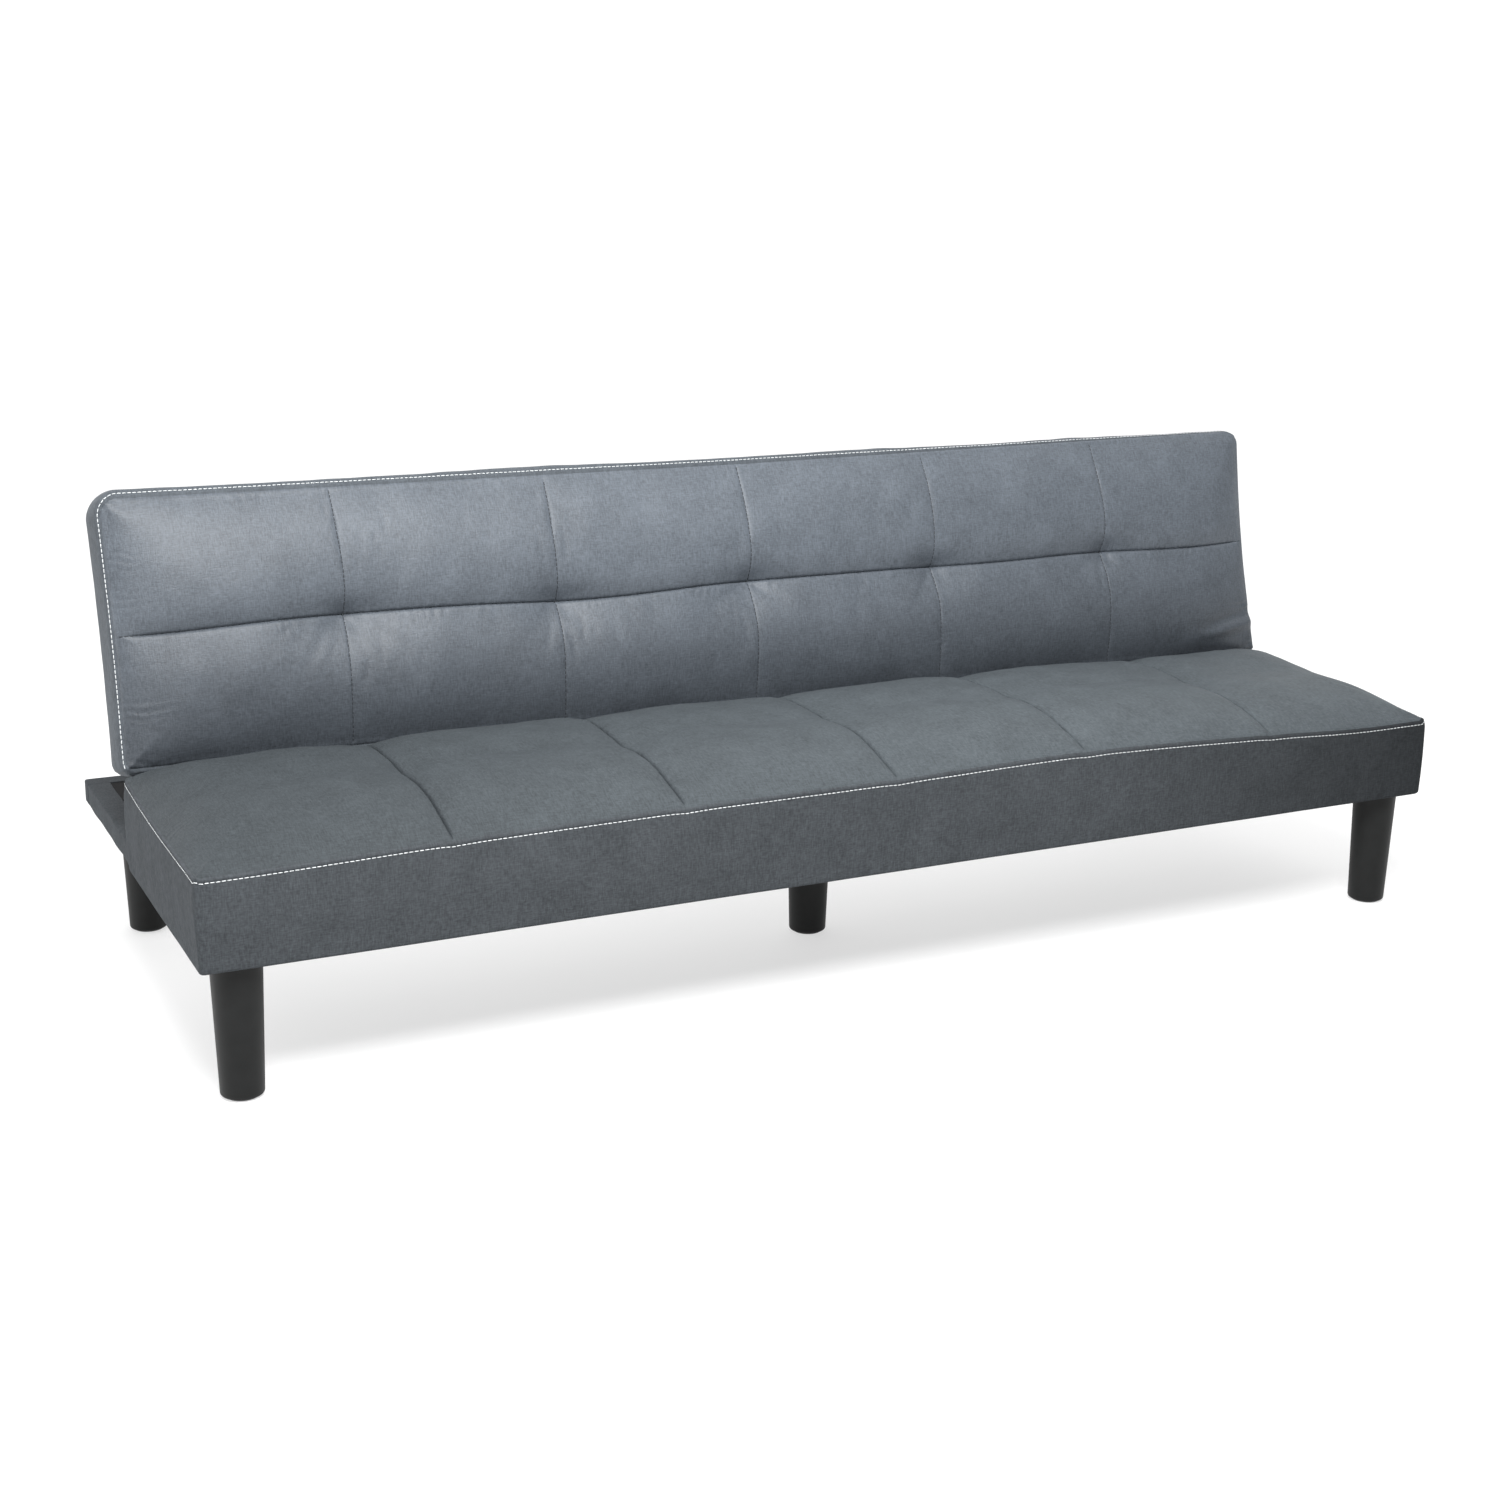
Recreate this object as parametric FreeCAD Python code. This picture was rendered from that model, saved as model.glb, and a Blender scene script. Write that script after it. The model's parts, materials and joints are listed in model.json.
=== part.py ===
"""Futon sofa bed: a fixed padded seat on a low timber base, and a backrest on two ratchet hinges.

Millimetres. +X runs from left to right as seen from the front, +Y from the front edge to the rear, +Z is up.
The origin is on the floor under the middle of the whole piece. The backrest is drawn folded flat on the rear
of the base, and then turned up about the hinge axis.
"""
import FreeCAD, Part

import math
import os

from FreeCAD import Vector

# ---------------------------------------------------------------- driving dimensions
LENGTH = 1800.0            # over the covers, end to end
DEPTH = 750.0              # front of the seat to the rear of the base
LEG_HEIGHT = 171.0         # floor to the underside of the base
LEG_TOP_RADIUS = 31.0
LEG_FOOT_RADIUS = 26.0
GLIDE_HEIGHT = 2.0

SEAT_DEPTH = 413.0         # front face to rear face of the seat
SEAM_Z = 284.5             # height of the seat's top edge seam, and of the backrest's when it lies flat
SEAT_CROWN = 52.0          # how far the seat's padding rises above its edge seam
BACK_CROWN = 16.0          # the same for the backrest
COVER = 1.5                # sewn cover fabric with its backing
SEAT_CORNERS = (12.0, 8.0)     # radius of the seat's upright corners, front and rear

RAIL_WIDTH = 28.0          # base rails, bare timber
RAIL_TOP = LEG_HEIGHT + 30.0
WRAP = 1.0                 # fabric glued round an exposed rail
RAIL_INSET = 6.0           # timber of a side rail, in from the end of the seat

RECLINE = 13.5             # backrest from upright, degrees
FOLD = 90.0 - RECLINE      # backrest from rest to flat
BACK_HEIGHT = 364.5        # bottom edge to top edge of the backrest
BACK_THICKNESS = 82.0      # edge seam to rear face
BACK_CORNERS = (8.0, 26.0)     # radius of the backrest's corners, at its bottom and its top edge
PIVOT_DROP = 24.0          # hinge axis below the flat backrest's edge seam
PIVOT_Y = 42.5
BACK_GAP = 35.5            # clear gap between seat and flat backrest

# ---------------------------------------------------------------- derived places
HALF = LENGTH / 2
FRONT = -DEPTH / 2
REAR = DEPTH / 2
SEAT_REAR = FRONT + SEAT_DEPTH
BACK_START = SEAT_REAR + BACK_GAP
BACK_END = BACK_START + BACK_HEIGHT
BACK_Y = (BACK_START, BACK_END)
BACK_UNDER = SEAM_Z - BACK_THICKNESS
PIVOT_Z = SEAM_Z - PIVOT_DROP
RAIL_BOTTOM = LEG_HEIGHT + WRAP
WRAP_TOP = RAIL_TOP + WRAP
RAIL_OUT = HALF - RAIL_INSET
RAIL_IN = RAIL_OUT - RAIL_WIDTH
WRAP_IN = RAIL_IN - WRAP
FRONT_RAIL_Y = FRONT + 4.0
SEAT_Y = (FRONT, SEAT_REAR)
REAR_RAIL_Y = REAR - WRAP - RAIL_WIDTH
CENTRE_X = 16.0            # centre rail and centre leg stand a little off the middle

BOARD = 16.0               # seat box boards
BOARD_TOP = 246.0
BOARD_OUT = HALF - 2.0
STILE = 24.0               # backrest frame boards, thickness
FRAME_TOP = 259.0          # backrest frame, upper edge when flat
FRAME_BOTTOM = BACK_UNDER + 2.0

LEGS = {
    "leg_front_left": (-849.0, -330.0),
    "leg_front_right": (849.0, -330.0),
    "leg_rear_left": (-834.0, 286.0),
    "leg_rear_right": (834.0, 286.0),
    "leg_centre": (CENTRE_X, -106.0),
}

# legs and their fixings
BOLT_RADIUS = 4.0
BOLT_FOOT = LEG_HEIGHT - 28.0
BOLT_TOP = RAIL_TOP - 2.0
BLOCK_IN = 788.0           # inner face of the corner blocks
BLOCK_LENGTH = 90.0
REAR_CORNER = 8.0          # rounded ends of the wrapped rear rail

# seat: springs, pad, and the room left for the hinges
WIRE = 1.75                # zigzag spring wire radius
SPRING_COUNT = 7
SPRING_PITCH = 245.0
LOOP_PITCH = 30.0
LOOP_REACH = 12.0          # half length of a spring's straight runs
PAD_Z = (251.0, 254.0)
HINGE_POCKET_X = (843.0, 870.0)
HINGE_POCKET_Z = (237.0, 284.0)
HINGE_POCKET_DEPTH = 17.0

# hinges: planes counted outward from the middle, angles in degrees seen from the hinge axis
PLATE_X = (861.0, 865.0)       # fixed plate, against the wrapped side rail
WASHER_X = (860.0, 861.0)
DISC_X = (856.0, 860.0)
PAWL_X = (856.3, 859.7)
ARM_X = (852.0, 856.0)         # arm, against the backrest's end stile
PIN_RADIUS = 5.0
RUNNING_FIT = 0.05
DISC_RADIUS = 18.0
NOTCH_FLOOR = 15.0
PAWL_PIVOT = (64.0, 233.0)
PAWL_RIVET_RADIUS = 3.0
PAWL_LIFT = 10.0               # degrees between lifted and engaged
TOOTH_ANGLE = -84.0            # where the tooth meets the disc, seen from the pivot
RELEASE = 8.0                  # over-travel forward of rest that frees the pawl
BASE_BOLT_Y = (49.0, 63.0)
BASE_BOLT_Z = 187.0
ARM_BOLT_Y = (118.0, 153.0, 188.0)
ARM_STRIP_Z = (235.0, 256.0)
ARM_END_Y = 204.0

# padding: crown, corner radii, then the front, rear and end sides as (seam, lean, run, lift)
LEAN_DROP = 6.5
END_FULLNESS = 1.06        # the ends' section is this much taller than the front-to-rear one
FRONT_PADDING = (8.0, 0.0, 75.0, 0.50)
REAR_PADDING = (13.0, 18.0, 70.0, 0.58)
END_PADDING = (0.0, 0.0, 120.0, 0.42)
SEAT_PADDING = (SEAT_CROWN, SEAT_CORNERS, FRONT_PADDING, REAR_PADDING, END_PADDING)
BACK_EDGES = (0.0, 0.0, 34.0, 0.48)
BACK_PADDING = (BACK_CROWN, BACK_CORNERS, BACK_EDGES, BACK_EDGES, BACK_EDGES)

# backrest
STRAP_WIDTH = 60.0
STRAP_PITCH = 165.0
STRAP_COUNT = 10
MID_STILE_X = 300.0

X_AXIS = Vector(1, 0, 0)
Y_AXIS = Vector(0, 1, 0)
Z_AXIS = Vector(0, 0, 1)
SIDES = {"left": -1, "right": 1}


# ---------------------------------------------------------------- helpers
def save(name, shape):
    """Write one sub-part as parts/NAME.step."""
    shape.exportStep(os.path.join("parts", name + ".step"))


def box(x, y, z):
    """A box from three (low, high) pairs."""
    return Part.makeBox(x[1] - x[0], y[1] - y[0], z[1] - z[0], Vector(x[0], y[0], z[0]))


def side_box(side, x, y, z):
    """A box whose x pair is counted outward from the middle, towards one end."""
    low, high = sorted((side * x[0], side * x[1]))
    return box((low, high), y, z)


def rod(radius, length, start, axis):
    return Part.makeCylinder(radius, length, Vector(*start), axis)


def prism(points, axis, length):
    """A closed outline of Vectors, pushed along an axis."""
    return Part.Face(Part.makePolygon(points + [points[0]])).extrude(axis * length)


def group(shapes):
    """Separate identical solids in one node."""
    return Part.makeCompound(shapes)


def turned_up(shape):
    """Turn a shape drawn on the flat backrest up to the sitting position."""
    turned = shape.copy()
    turned.rotate(Vector(0, PIVOT_Y, PIVOT_Z), X_AXIS, FOLD)
    return turned


def round_uprights(shape, near, far):
    """Round a box's vertical edges: one radius at its low y side, another at its high y side."""
    middle = shape.CenterOfMass.y
    upright = [e for e in shape.Edges if abs(e.tangentAt(e.FirstParameter).z) > 0.99]
    front = [e for e in upright if e.CenterOfMass.y < middle]
    shape = shape.makeFillet(near, front)
    upright = [e for e in shape.Edges if abs(e.tangentAt(e.FirstParameter).z) > 0.99]
    rear = [e for e in upright if e.CenterOfMass.y > middle + 1.0]
    return shape.makeFillet(far, rear)


def crown_outline(low, high, base, edge, crown, near, far):
    """Section of a padded block: flat base and sides, and a top that rises from its edge seams.

    near and far are (seam, lean, run, lift) for the two sides: how far the seam is above edge, how far
    in it leans, how far behind it the shoulder is, and the share of the crown gained four tenths of
    the way there.
    """
    shoulder = edge + crown * 0.8
    low_seam = Vector(0, low + near[1], edge + near[0])
    high_seam = Vector(0, high - far[1], edge + far[0])
    low_shoulder = Vector(0, low_seam.y + near[2], shoulder)
    high_shoulder = Vector(0, high_seam.y - far[2], shoulder)
    low_slope = Vector(0, low_seam.y + near[2] * 0.4, edge + crown * near[3])
    high_slope = Vector(0, high_seam.y - far[2] * 0.4, edge + crown * far[3])
    middle = Vector(0, (low_shoulder.y + high_shoulder.y) / 2, edge + crown)
    corners = [low_seam, Vector(0, low, base), Vector(0, high, base), high_seam]
    if near[1] > 0:
        corners.insert(1, Vector(0, low, edge - LEAN_DROP))
    if far[1] > 0:
        corners.insert(-1, Vector(0, high, edge - LEAN_DROP))
    pieces = [Part.LineSegment(one, after) for one, after in zip(corners, corners[1:])]
    pieces += [
        Part.Arc(high_seam, high_slope, high_shoulder),
        Part.Arc(high_shoulder, middle, low_shoulder),
        Part.Arc(low_shoulder, low_slope, low_seam),
    ]
    return Part.Wire([piece.toShape() for piece in pieces])


def padded_block(y, base, inset, padding):
    """A block with a domed top, drawn in by inset on its ends, its y sides and its top."""
    crown, corners, front_slope, rear_slope, end_slope = padding
    edge = SEAM_Z - inset * 0.5
    crown = crown - inset * 0.5
    half = HALF - inset
    along = Part.Face(crown_outline(y[0] + inset, y[1] - inset, base, edge, crown, front_slope, rear_slope))
    along = along.extrude(X_AXIS * (2 * half))
    along.translate(Vector(-half, 0, 0))
    across = Part.Face(crown_outline(-half, half, base, edge, crown * END_FULLNESS, end_slope, end_slope))
    across.rotate(Vector(0, 0, 0), Z_AXIS, -90)
    across = across.extrude(Y_AXIS * (y[1] - y[0] - 2 * inset))
    across.translate(Vector(0, y[0] + inset, 0))
    plan = box((-half, half), (y[0] + inset, y[1] - inset), (base, edge + crown))
    plan = round_uprights(plan, corners[0] - inset, corners[1] - inset)
    return along.common(across).common(plan)


# ---------------------------------------------------------------- base frame
def hanger_bolt(x, y):
    return rod(BOLT_RADIUS, BOLT_TOP - BOLT_FOOT, (x, y, BOLT_FOOT), Z_AXIS)


def tee_nut(x, y):
    """Barrel and flange let into the upper face of a rail or block, threaded onto the hanger bolt."""
    barrel = rod(5.5, 18.0, (x, y, RAIL_TOP - 18.0), Z_AXIS)
    flange = rod(10.0, 1.5, (x, y, RAIL_TOP - 1.5), Z_AXIS)
    return barrel.fuse(flange).removeSplitter()


def drill_for_legs(shape):
    """Cut the leg bolt and tee nut holes that fall inside a timber."""
    for x, y in LEGS.values():
        shape = shape.cut(tee_nut(x, y)).cut(hanger_bolt(x, y))
    return shape


def rail(x, y):
    return box(x, y, (RAIL_BOTTOM, RAIL_TOP))


def build_base():
    front_y = (FRONT_RAIL_Y, FRONT_RAIL_Y + RAIL_WIDTH)
    rear_y = (REAR_RAIL_Y, REAR_RAIL_Y + RAIL_WIDTH)
    wrap_rear_y = REAR_RAIL_Y - WRAP
    centre = (CENTRE_X - RAIL_WIDTH / 2, CENTRE_X + RAIL_WIDTH / 2)
    cross_y = (SEAT_REAR - 2.0 - RAIL_WIDTH, SEAT_REAR - 2.0)
    wrap_z = (LEG_HEIGHT, WRAP_TOP)
    for name, side in SIDES.items():
        shape = side_box(side, (RAIL_IN, RAIL_OUT), (FRONT_RAIL_Y, wrap_rear_y), (RAIL_BOTTOM, RAIL_TOP))
        for bolt in base_bolts(side):
            shape = shape.cut(bolt)
        save("base_side_rail_" + name, shape)
        sleeve = side_box(side, (WRAP_IN, RAIL_OUT + WRAP), (SEAT_REAR, wrap_rear_y), wrap_z).cut(shape)
        for bolt in base_bolts(side):
            sleeve = sleeve.cut(bolt)
        save("wrap_side_" + name, sleeve)
    save("base_front_rail", rail((-RAIL_IN, RAIL_IN), front_y))
    rear_rail = round_uprights(rail((-RAIL_OUT, RAIL_OUT), rear_y), 0.5, REAR_CORNER - WRAP)
    save("base_rear_rail", rear_rail)
    sleeve = box((-RAIL_OUT - WRAP, RAIL_OUT + WRAP), (wrap_rear_y, REAR), wrap_z)
    sleeve = round_uprights(sleeve, 0.5, REAR_CORNER)
    save("wrap_rear", sleeve.cut(rear_rail))
    centre_rail = drill_for_legs(rail(centre, (front_y[1], wrap_rear_y)))
    save("base_centre_rail", centre_rail)
    sleeve = box((centre[0] - WRAP, centre[1] + WRAP), (SEAT_REAR, wrap_rear_y), wrap_z)
    save("wrap_centre", sleeve.cut(centre_rail))
    save("base_cross_rail_left", rail((-RAIL_IN, centre[0]), cross_y))
    save("base_cross_rail_right", rail((centre[1], RAIL_IN), cross_y))
    blocks = [drill_for_legs(side_box(s, (BLOCK_IN, RAIL_IN), (front_y[1], front_y[1] + BLOCK_LENGTH),
                                      (RAIL_BOTTOM, RAIL_TOP))) for s in SIDES.values()]
    save("front_corner_blocks", group(blocks))
    blocks = [drill_for_legs(side_box(s, (BLOCK_IN, WRAP_IN), (wrap_rear_y - BLOCK_LENGTH, wrap_rear_y),
                                      (LEG_HEIGHT, RAIL_TOP))) for s in SIDES.values()]
    save("rear_corner_blocks", group(blocks))


# ---------------------------------------------------------------- legs
def leg(x, y):
    """Turned leg, tapering towards a rounded foot and bored for its hanger bolt."""
    height = LEG_HEIGHT - GLIDE_HEIGHT
    shape = Part.makeCone(LEG_FOOT_RADIUS, LEG_TOP_RADIUS, height, Vector(x, y, GLIDE_HEIGHT), Z_AXIS)
    foot = [e for e in shape.Edges if e.BoundBox.ZMax < GLIDE_HEIGHT + 0.1]
    return shape.makeFillet(4.0, foot).cut(hanger_bolt(x, y))


def build_legs():
    for name, (x, y) in LEGS.items():
        save(name, leg(x, y))
    places = LEGS.values()
    save("leg_glides", group([rod(20.0, GLIDE_HEIGHT, (x, y, 0), Z_AXIS) for x, y in places]))
    save("leg_bolts", group([hanger_bolt(x, y) for x, y in places]))
    save("leg_tee_nuts", group([tee_nut(x, y).cut(hanger_bolt(x, y)) for x, y in places]))


# ---------------------------------------------------------------- seat
def hinge_pockets():
    """Room in the rear of the seat for the turning hub of each hinge."""
    y = (SEAT_REAR - HINGE_POCKET_DEPTH, SEAT_REAR + 1.0)
    return group([side_box(s, HINGE_POCKET_X, y, HINGE_POCKET_Z) for s in SIDES.values()])


def spring_wire(x, y):
    """One zigzag spring lying flat: straight runs joined by half-round ends, from low y to high y."""
    z = BOARD_TOP + WIRE
    runs = int((y[1] - y[0]) // LOOP_PITCH)
    turn = LOOP_PITCH / 2
    edges = []
    place = y[0]
    for i in range(runs + 1):
        out = LOOP_REACH if i % 2 else -LOOP_REACH
        edges.append(Part.LineSegment(Vector(x + out, place, z), Vector(x - out, place, z)).toShape())
        if i < runs:
            bulge = Vector(x - out - math.copysign(turn, out), place + turn, z)
            end = Vector(x - out, place + LOOP_PITCH, z)
            edges.append(Part.Arc(Vector(x - out, place, z), bulge, end).toShape())
            place += LOOP_PITCH
    path = Part.Wire(edges)
    section = Part.Wire([Part.makeCircle(WIRE, Vector(x - LOOP_REACH, y[0], z), X_AXIS)])
    return path.makePipeShell([section], True, False), place


def spring_clip(x, y):
    z = BOARD_TOP + WIRE
    clip = box((x - 8.0, x + 8.0), (y - 6.0, y + 6.0), (BOARD_TOP, BOARD_TOP + 4.6))
    return clip.cut(rod(WIRE + 0.05, 20.0, (x - 10.0, y, z), X_AXIS))


def build_seat():
    outer = padded_block(SEAT_Y, LEG_HEIGHT, 0.0, SEAT_PADDING)
    inner = padded_block(SEAT_Y, LEG_HEIGHT + 1.0, COVER, SEAT_PADDING)
    pockets = hinge_pockets()
    lip = 20.0
    floor_z = (LEG_HEIGHT - 1.0, LEG_HEIGHT + 2.0)
    mouth = box((-HALF + lip, HALF - lip), (FRONT + lip, SEAT_REAR - COVER), floor_z)
    rail_ways = [side_box(s, (WRAP_IN - 0.5, RAIL_OUT + WRAP + 0.5), (SEAT_REAR - 5.0, SEAT_REAR + 1.0),
                          (LEG_HEIGHT - 1.0, WRAP_TOP + 0.5)) for s in SIDES.values()]
    centre_way = box((CENTRE_X - 15.5, CENTRE_X + 15.5), (SEAT_REAR - 5.0, SEAT_REAR + 1.0),
                     (LEG_HEIGHT - 1.0, WRAP_TOP + 0.5))
    cover = outer.cut(inner).cut(mouth).cut(pockets).cut(group(rail_ways + [centre_way]))
    save("seat_cover", cover)

    front_board_y = (FRONT_RAIL_Y, FRONT_RAIL_Y + BOARD)
    rear_board_y = (SEAT_REAR - 2.0 - BOARD, SEAT_REAR - 2.0)
    side_y = (front_board_y[1], rear_board_y[0])
    board_x = (-BOARD_OUT, BOARD_OUT)
    front_board = box(board_x, front_board_y, (RAIL_TOP, BOARD_TOP))
    save("seat_front_board", round_uprights(front_board, SEAT_CORNERS[0] - 2.5, 0.5))
    rear_board = box(board_x, rear_board_y, (RAIL_TOP, BOARD_TOP))
    save("seat_rear_board", round_uprights(rear_board, 0.5, SEAT_CORNERS[1] - 2.0).cut(pockets))
    end_x = (BOARD_OUT - BOARD, BOARD_OUT)
    for name, side in SIDES.items():
        save("seat_end_board_" + name, side_box(side, end_x, side_y, (RAIL_TOP, BOARD_TOP)))
    centre_x = (CENTRE_X - BOARD / 2, CENTRE_X + BOARD / 2)
    save("seat_centre_board", box(centre_x, side_y, (RAIL_TOP, BOARD_TOP - 1.0)))

    first = (front_board_y[0] + front_board_y[1]) / 2
    last = (rear_board_y[0] + rear_board_y[1]) / 2
    middle = (SPRING_COUNT - 1) / 2
    places = [(i - middle) * SPRING_PITCH for i in range(SPRING_COUNT)]
    wires = []
    for x in places:
        wire, end = spring_wire(x, (first, last))
        wires.append(wire)
    save("seat_springs", group(wires))
    save("seat_spring_clips", group([spring_clip(x, y) for x in places for y in (first, end)]))
    pad = box((-BOARD_OUT + 4.0, BOARD_OUT - 4.0), (FRONT + 6.0, SEAT_REAR - 6.0), PAD_Z)
    save("seat_spring_pad", pad.cut(pockets))
    foam = padded_block(SEAT_Y, PAD_Z[1], COVER + 0.3, SEAT_PADDING)
    save("seat_foam", foam.cut(pockets))

    edge = lip + 0.5
    cloth_y = (FRONT + edge, SEAT_REAR - 6.0)
    cloth = box((-HALF + edge, HALF - edge), cloth_y, (LEG_HEIGHT + 0.2, RAIL_BOTTOM))
    for x, y in LEGS.values():
        cloth = cloth.cut(rod(BOLT_RADIUS + 0.5, 3.0, (x, y, LEG_HEIGHT - 1.0), Z_AXIS))
    save("dust_cover", cloth)
    staple_z = (LEG_HEIGHT - 0.4, LEG_HEIGHT + 0.2)
    rows = (FRONT + edge + 6.0, SEAT_REAR - 12.0)
    staples = [box((x - 5.0, x + 5.0), (y - 0.4, y + 0.4), staple_z)
               for x in range(-720, 721, 120) if abs(x) > 60 for y in rows]
    save("dust_cover_staples", group(staples))


# ---------------------------------------------------------------- hinges
def polar(radius, angle):
    """A (y, z) pair at a distance and angle from the hinge axis."""
    turn = math.radians(angle)
    return (PIVOT_Y + radius * math.cos(turn), PIVOT_Z + radius * math.sin(turn))


def side_plate(side, x, outline):
    """A flat plate between two x planes, from its (y, z) outline."""
    start = side * x[0]
    return prism([Vector(start, y, z) for y, z in outline], X_AXIS, side * (x[1] - x[0]))


def side_rod(side, radius, x, place):
    """A rod along X between two x planes, at a (y, z) place."""
    return rod(radius, x[1] - x[0], (side * x[0], place[0], place[1]), X_AXIS * side)


def base_bolts(side):
    """Bolts through the fixed plate into the side rail: shank and round head."""
    bolts = []
    for y in BASE_BOLT_Y:
        shank = side_rod(side, 3.0, (PLATE_X[0], RAIL_OUT - 6.0), (y, BASE_BOLT_Z))
        head = side_rod(side, 6.0, (PLATE_X[0] - 4.0, PLATE_X[0]), (y, BASE_BOLT_Z))
        bolts.append(shank.fuse(head).removeSplitter())
    return bolts


def arm_bolts(side):
    """Bolts through the arm into the backrest's end stile, on the flat backrest."""
    z = (ARM_STRIP_Z[0] + ARM_STRIP_Z[1]) / 2
    bolts = []
    for y in ARM_BOLT_Y:
        shank = side_rod(side, 3.0, (ARM_X[0], ARM_X[1] + 18.0), (y, z))
        head = side_rod(side, 6.0, (ARM_X[0] - 4.0, ARM_X[0]), (y, z))
        bolts.append(shank.fuse(head).removeSplitter())
    return bolts


def fixed_plate(side):
    outline = [(40.0, 176.0), (72.0, 176.0), (72.0, 238.0), (56.5, 262.0), (42.5, 274.5), (28.5, 262.0),
               (40.0, 236.0)]
    plate = side_plate(side, PLATE_X, outline)
    plate = plate.fuse(side_rod(side, 14.0, PLATE_X, (PIVOT_Y, PIVOT_Z))).removeSplitter()
    plate = plate.cut(side_rod(side, PIN_RADIUS, PLATE_X, (PIVOT_Y, PIVOT_Z)))
    plate = plate.cut(side_rod(side, PAWL_RIVET_RADIUS, PLATE_X, PAWL_PIVOT))
    for bolt in base_bolts(side):
        plate = plate.cut(bolt)
    return plate


def arm(side):
    """Moving plate, drawn flat: a hub on the pivot and a strip along the backrest's end stile."""
    hub = (PIVOT_Y, PIVOT_Z)
    outline = [(hub[0], hub[1] - 14.0), (76.0, ARM_STRIP_Z[0]), (ARM_END_Y, ARM_STRIP_Z[0]),
               (ARM_END_Y, ARM_STRIP_Z[1]), (76.0, ARM_STRIP_Z[1]), (hub[0], hub[1] + 14.0)]
    plate = side_plate(side, ARM_X, outline)
    plate = plate.fuse(side_rod(side, 14.0, ARM_X, hub)).removeSplitter()
    plate = plate.cut(side_rod(side, PIN_RADIUS + RUNNING_FIT, ARM_X, hub))
    for bolt in arm_bolts(side):
        plate = plate.cut(bolt)
    return plate


def notch(side, low, high):
    """A gap in the rim of the ratchet disc between two angles, as it stands at rest."""
    outline = [polar(NOTCH_FLOOR, low + 1.5), polar(DISC_RADIUS + 3.0, low - 1.0),
               polar(DISC_RADIUS + 3.0, high + 1.0), polar(NOTCH_FLOOR, high - 1.5)]
    return side_plate(side, DISC_X, outline)


def ratchet_disc(side):
    """Drawn at rest. Long sitting notch with the release over-travel, a half-way notch and a flat notch."""
    play = 9.0
    half_way = TOOTH_ANGLE + FOLD / 2
    disc = side_rod(side, DISC_RADIUS, DISC_X, (PIVOT_Y, PIVOT_Z))
    disc = disc.cut(side_rod(side, PIN_RADIUS + RUNNING_FIT, DISC_X, (PIVOT_Y, PIVOT_Z)))
    disc = disc.cut(notch(side, TOOTH_ANGLE - RELEASE - play, TOOTH_ANGLE + play))
    disc = disc.cut(notch(side, half_way - play - 4.0, half_way + play))
    return disc.cut(notch(side, TOOTH_ANGLE + FOLD - play, TOOTH_ANGLE + FOLD + play))


def pawl(side):
    """Drawn engaged, then lifted clear of the disc about its rivet."""
    tooth = [polar(18.7, -90.0), polar(15.7, -88.5), polar(15.7, -79.5), polar(18.7, -77.5)]
    back = [polar(19.6, -60.0), (62.0, 239.0), (66.0, 238.5), (66.0, 227.5), (60.0, 227.5)]
    outline = [polar(25.0, -93.0), polar(18.7, -93.0)] + tooth + back
    body = side_plate(side, PAWL_X, outline)
    body = body.fuse(side_rod(side, 6.0, PAWL_X, PAWL_PIVOT)).removeSplitter()
    body = body.cut(side_rod(side, PAWL_RIVET_RADIUS + RUNNING_FIT, PAWL_X, PAWL_PIVOT))
    body.rotate(Vector(0, *PAWL_PIVOT), X_AXIS, PAWL_LIFT)
    return body


def pawl_spring(side):
    """Leaf spring on a post of the fixed plate, standing just under the lifted pawl."""
    post = side_rod(side, 2.5, (PAWL_X[0], PLATE_X[0]), (52.0, 214.0))
    leaf = side_plate(side, PAWL_X, [(50.5, 214.0), (51.2, 214.4), (46.6, 227.0), (45.9, 226.7)])
    return post.fuse(leaf).removeSplitter()


def pivot_pin(side):
    shank = side_rod(side, PIN_RADIUS, (ARM_X[0] - 8.0, PLATE_X[1]), (PIVOT_Y, PIVOT_Z))
    head = side_rod(side, 9.0, (PLATE_X[1], PLATE_X[1] + 4.0), (PIVOT_Y, PIVOT_Z))
    return shank.fuse(head).removeSplitter()


def hexagon_nut(side, x):
    corners = [polar(8.7, 60.0 * i) for i in range(6)]
    return side_plate(side, x, corners).cut(side_rod(side, PIN_RADIUS, x, (PIVOT_Y, PIVOT_Z)))


def build_hinges():
    hub = (PIVOT_Y, PIVOT_Z)
    for name, side in SIDES.items():
        save("hinge_plate_" + name, fixed_plate(side))
        save("hinge_arm_" + name, turned_up(arm(side)))
        save("ratchet_disc_" + name, ratchet_disc(side))
        save("pawl_" + name, pawl(side))
    sides = SIDES.values()
    save("hinge_pivots", group([pivot_pin(s) for s in sides]))
    save("hinge_pivot_nuts", group([hexagon_nut(s, (ARM_X[0] - 7.0, ARM_X[0] - 0.5)) for s in sides]))
    washers = [side_rod(s, 10.0, WASHER_X, hub).cut(side_rod(s, PIN_RADIUS, WASHER_X, hub)) for s in sides]
    save("hinge_washers", group(washers))
    rivets = [side_rod(s, PAWL_RIVET_RADIUS, (PAWL_X[0], PLATE_X[1] + 0.5), PAWL_PIVOT) for s in sides]
    save("pawl_rivets", group(rivets))
    save("pawl_springs", group([pawl_spring(s) for s in sides]))
    save("hinge_base_bolts", group([bolt for s in sides for bolt in base_bolts(s)]))
    save("hinge_arm_bolts", turned_up(group([bolt for s in sides for bolt in arm_bolts(s)])))


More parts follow.
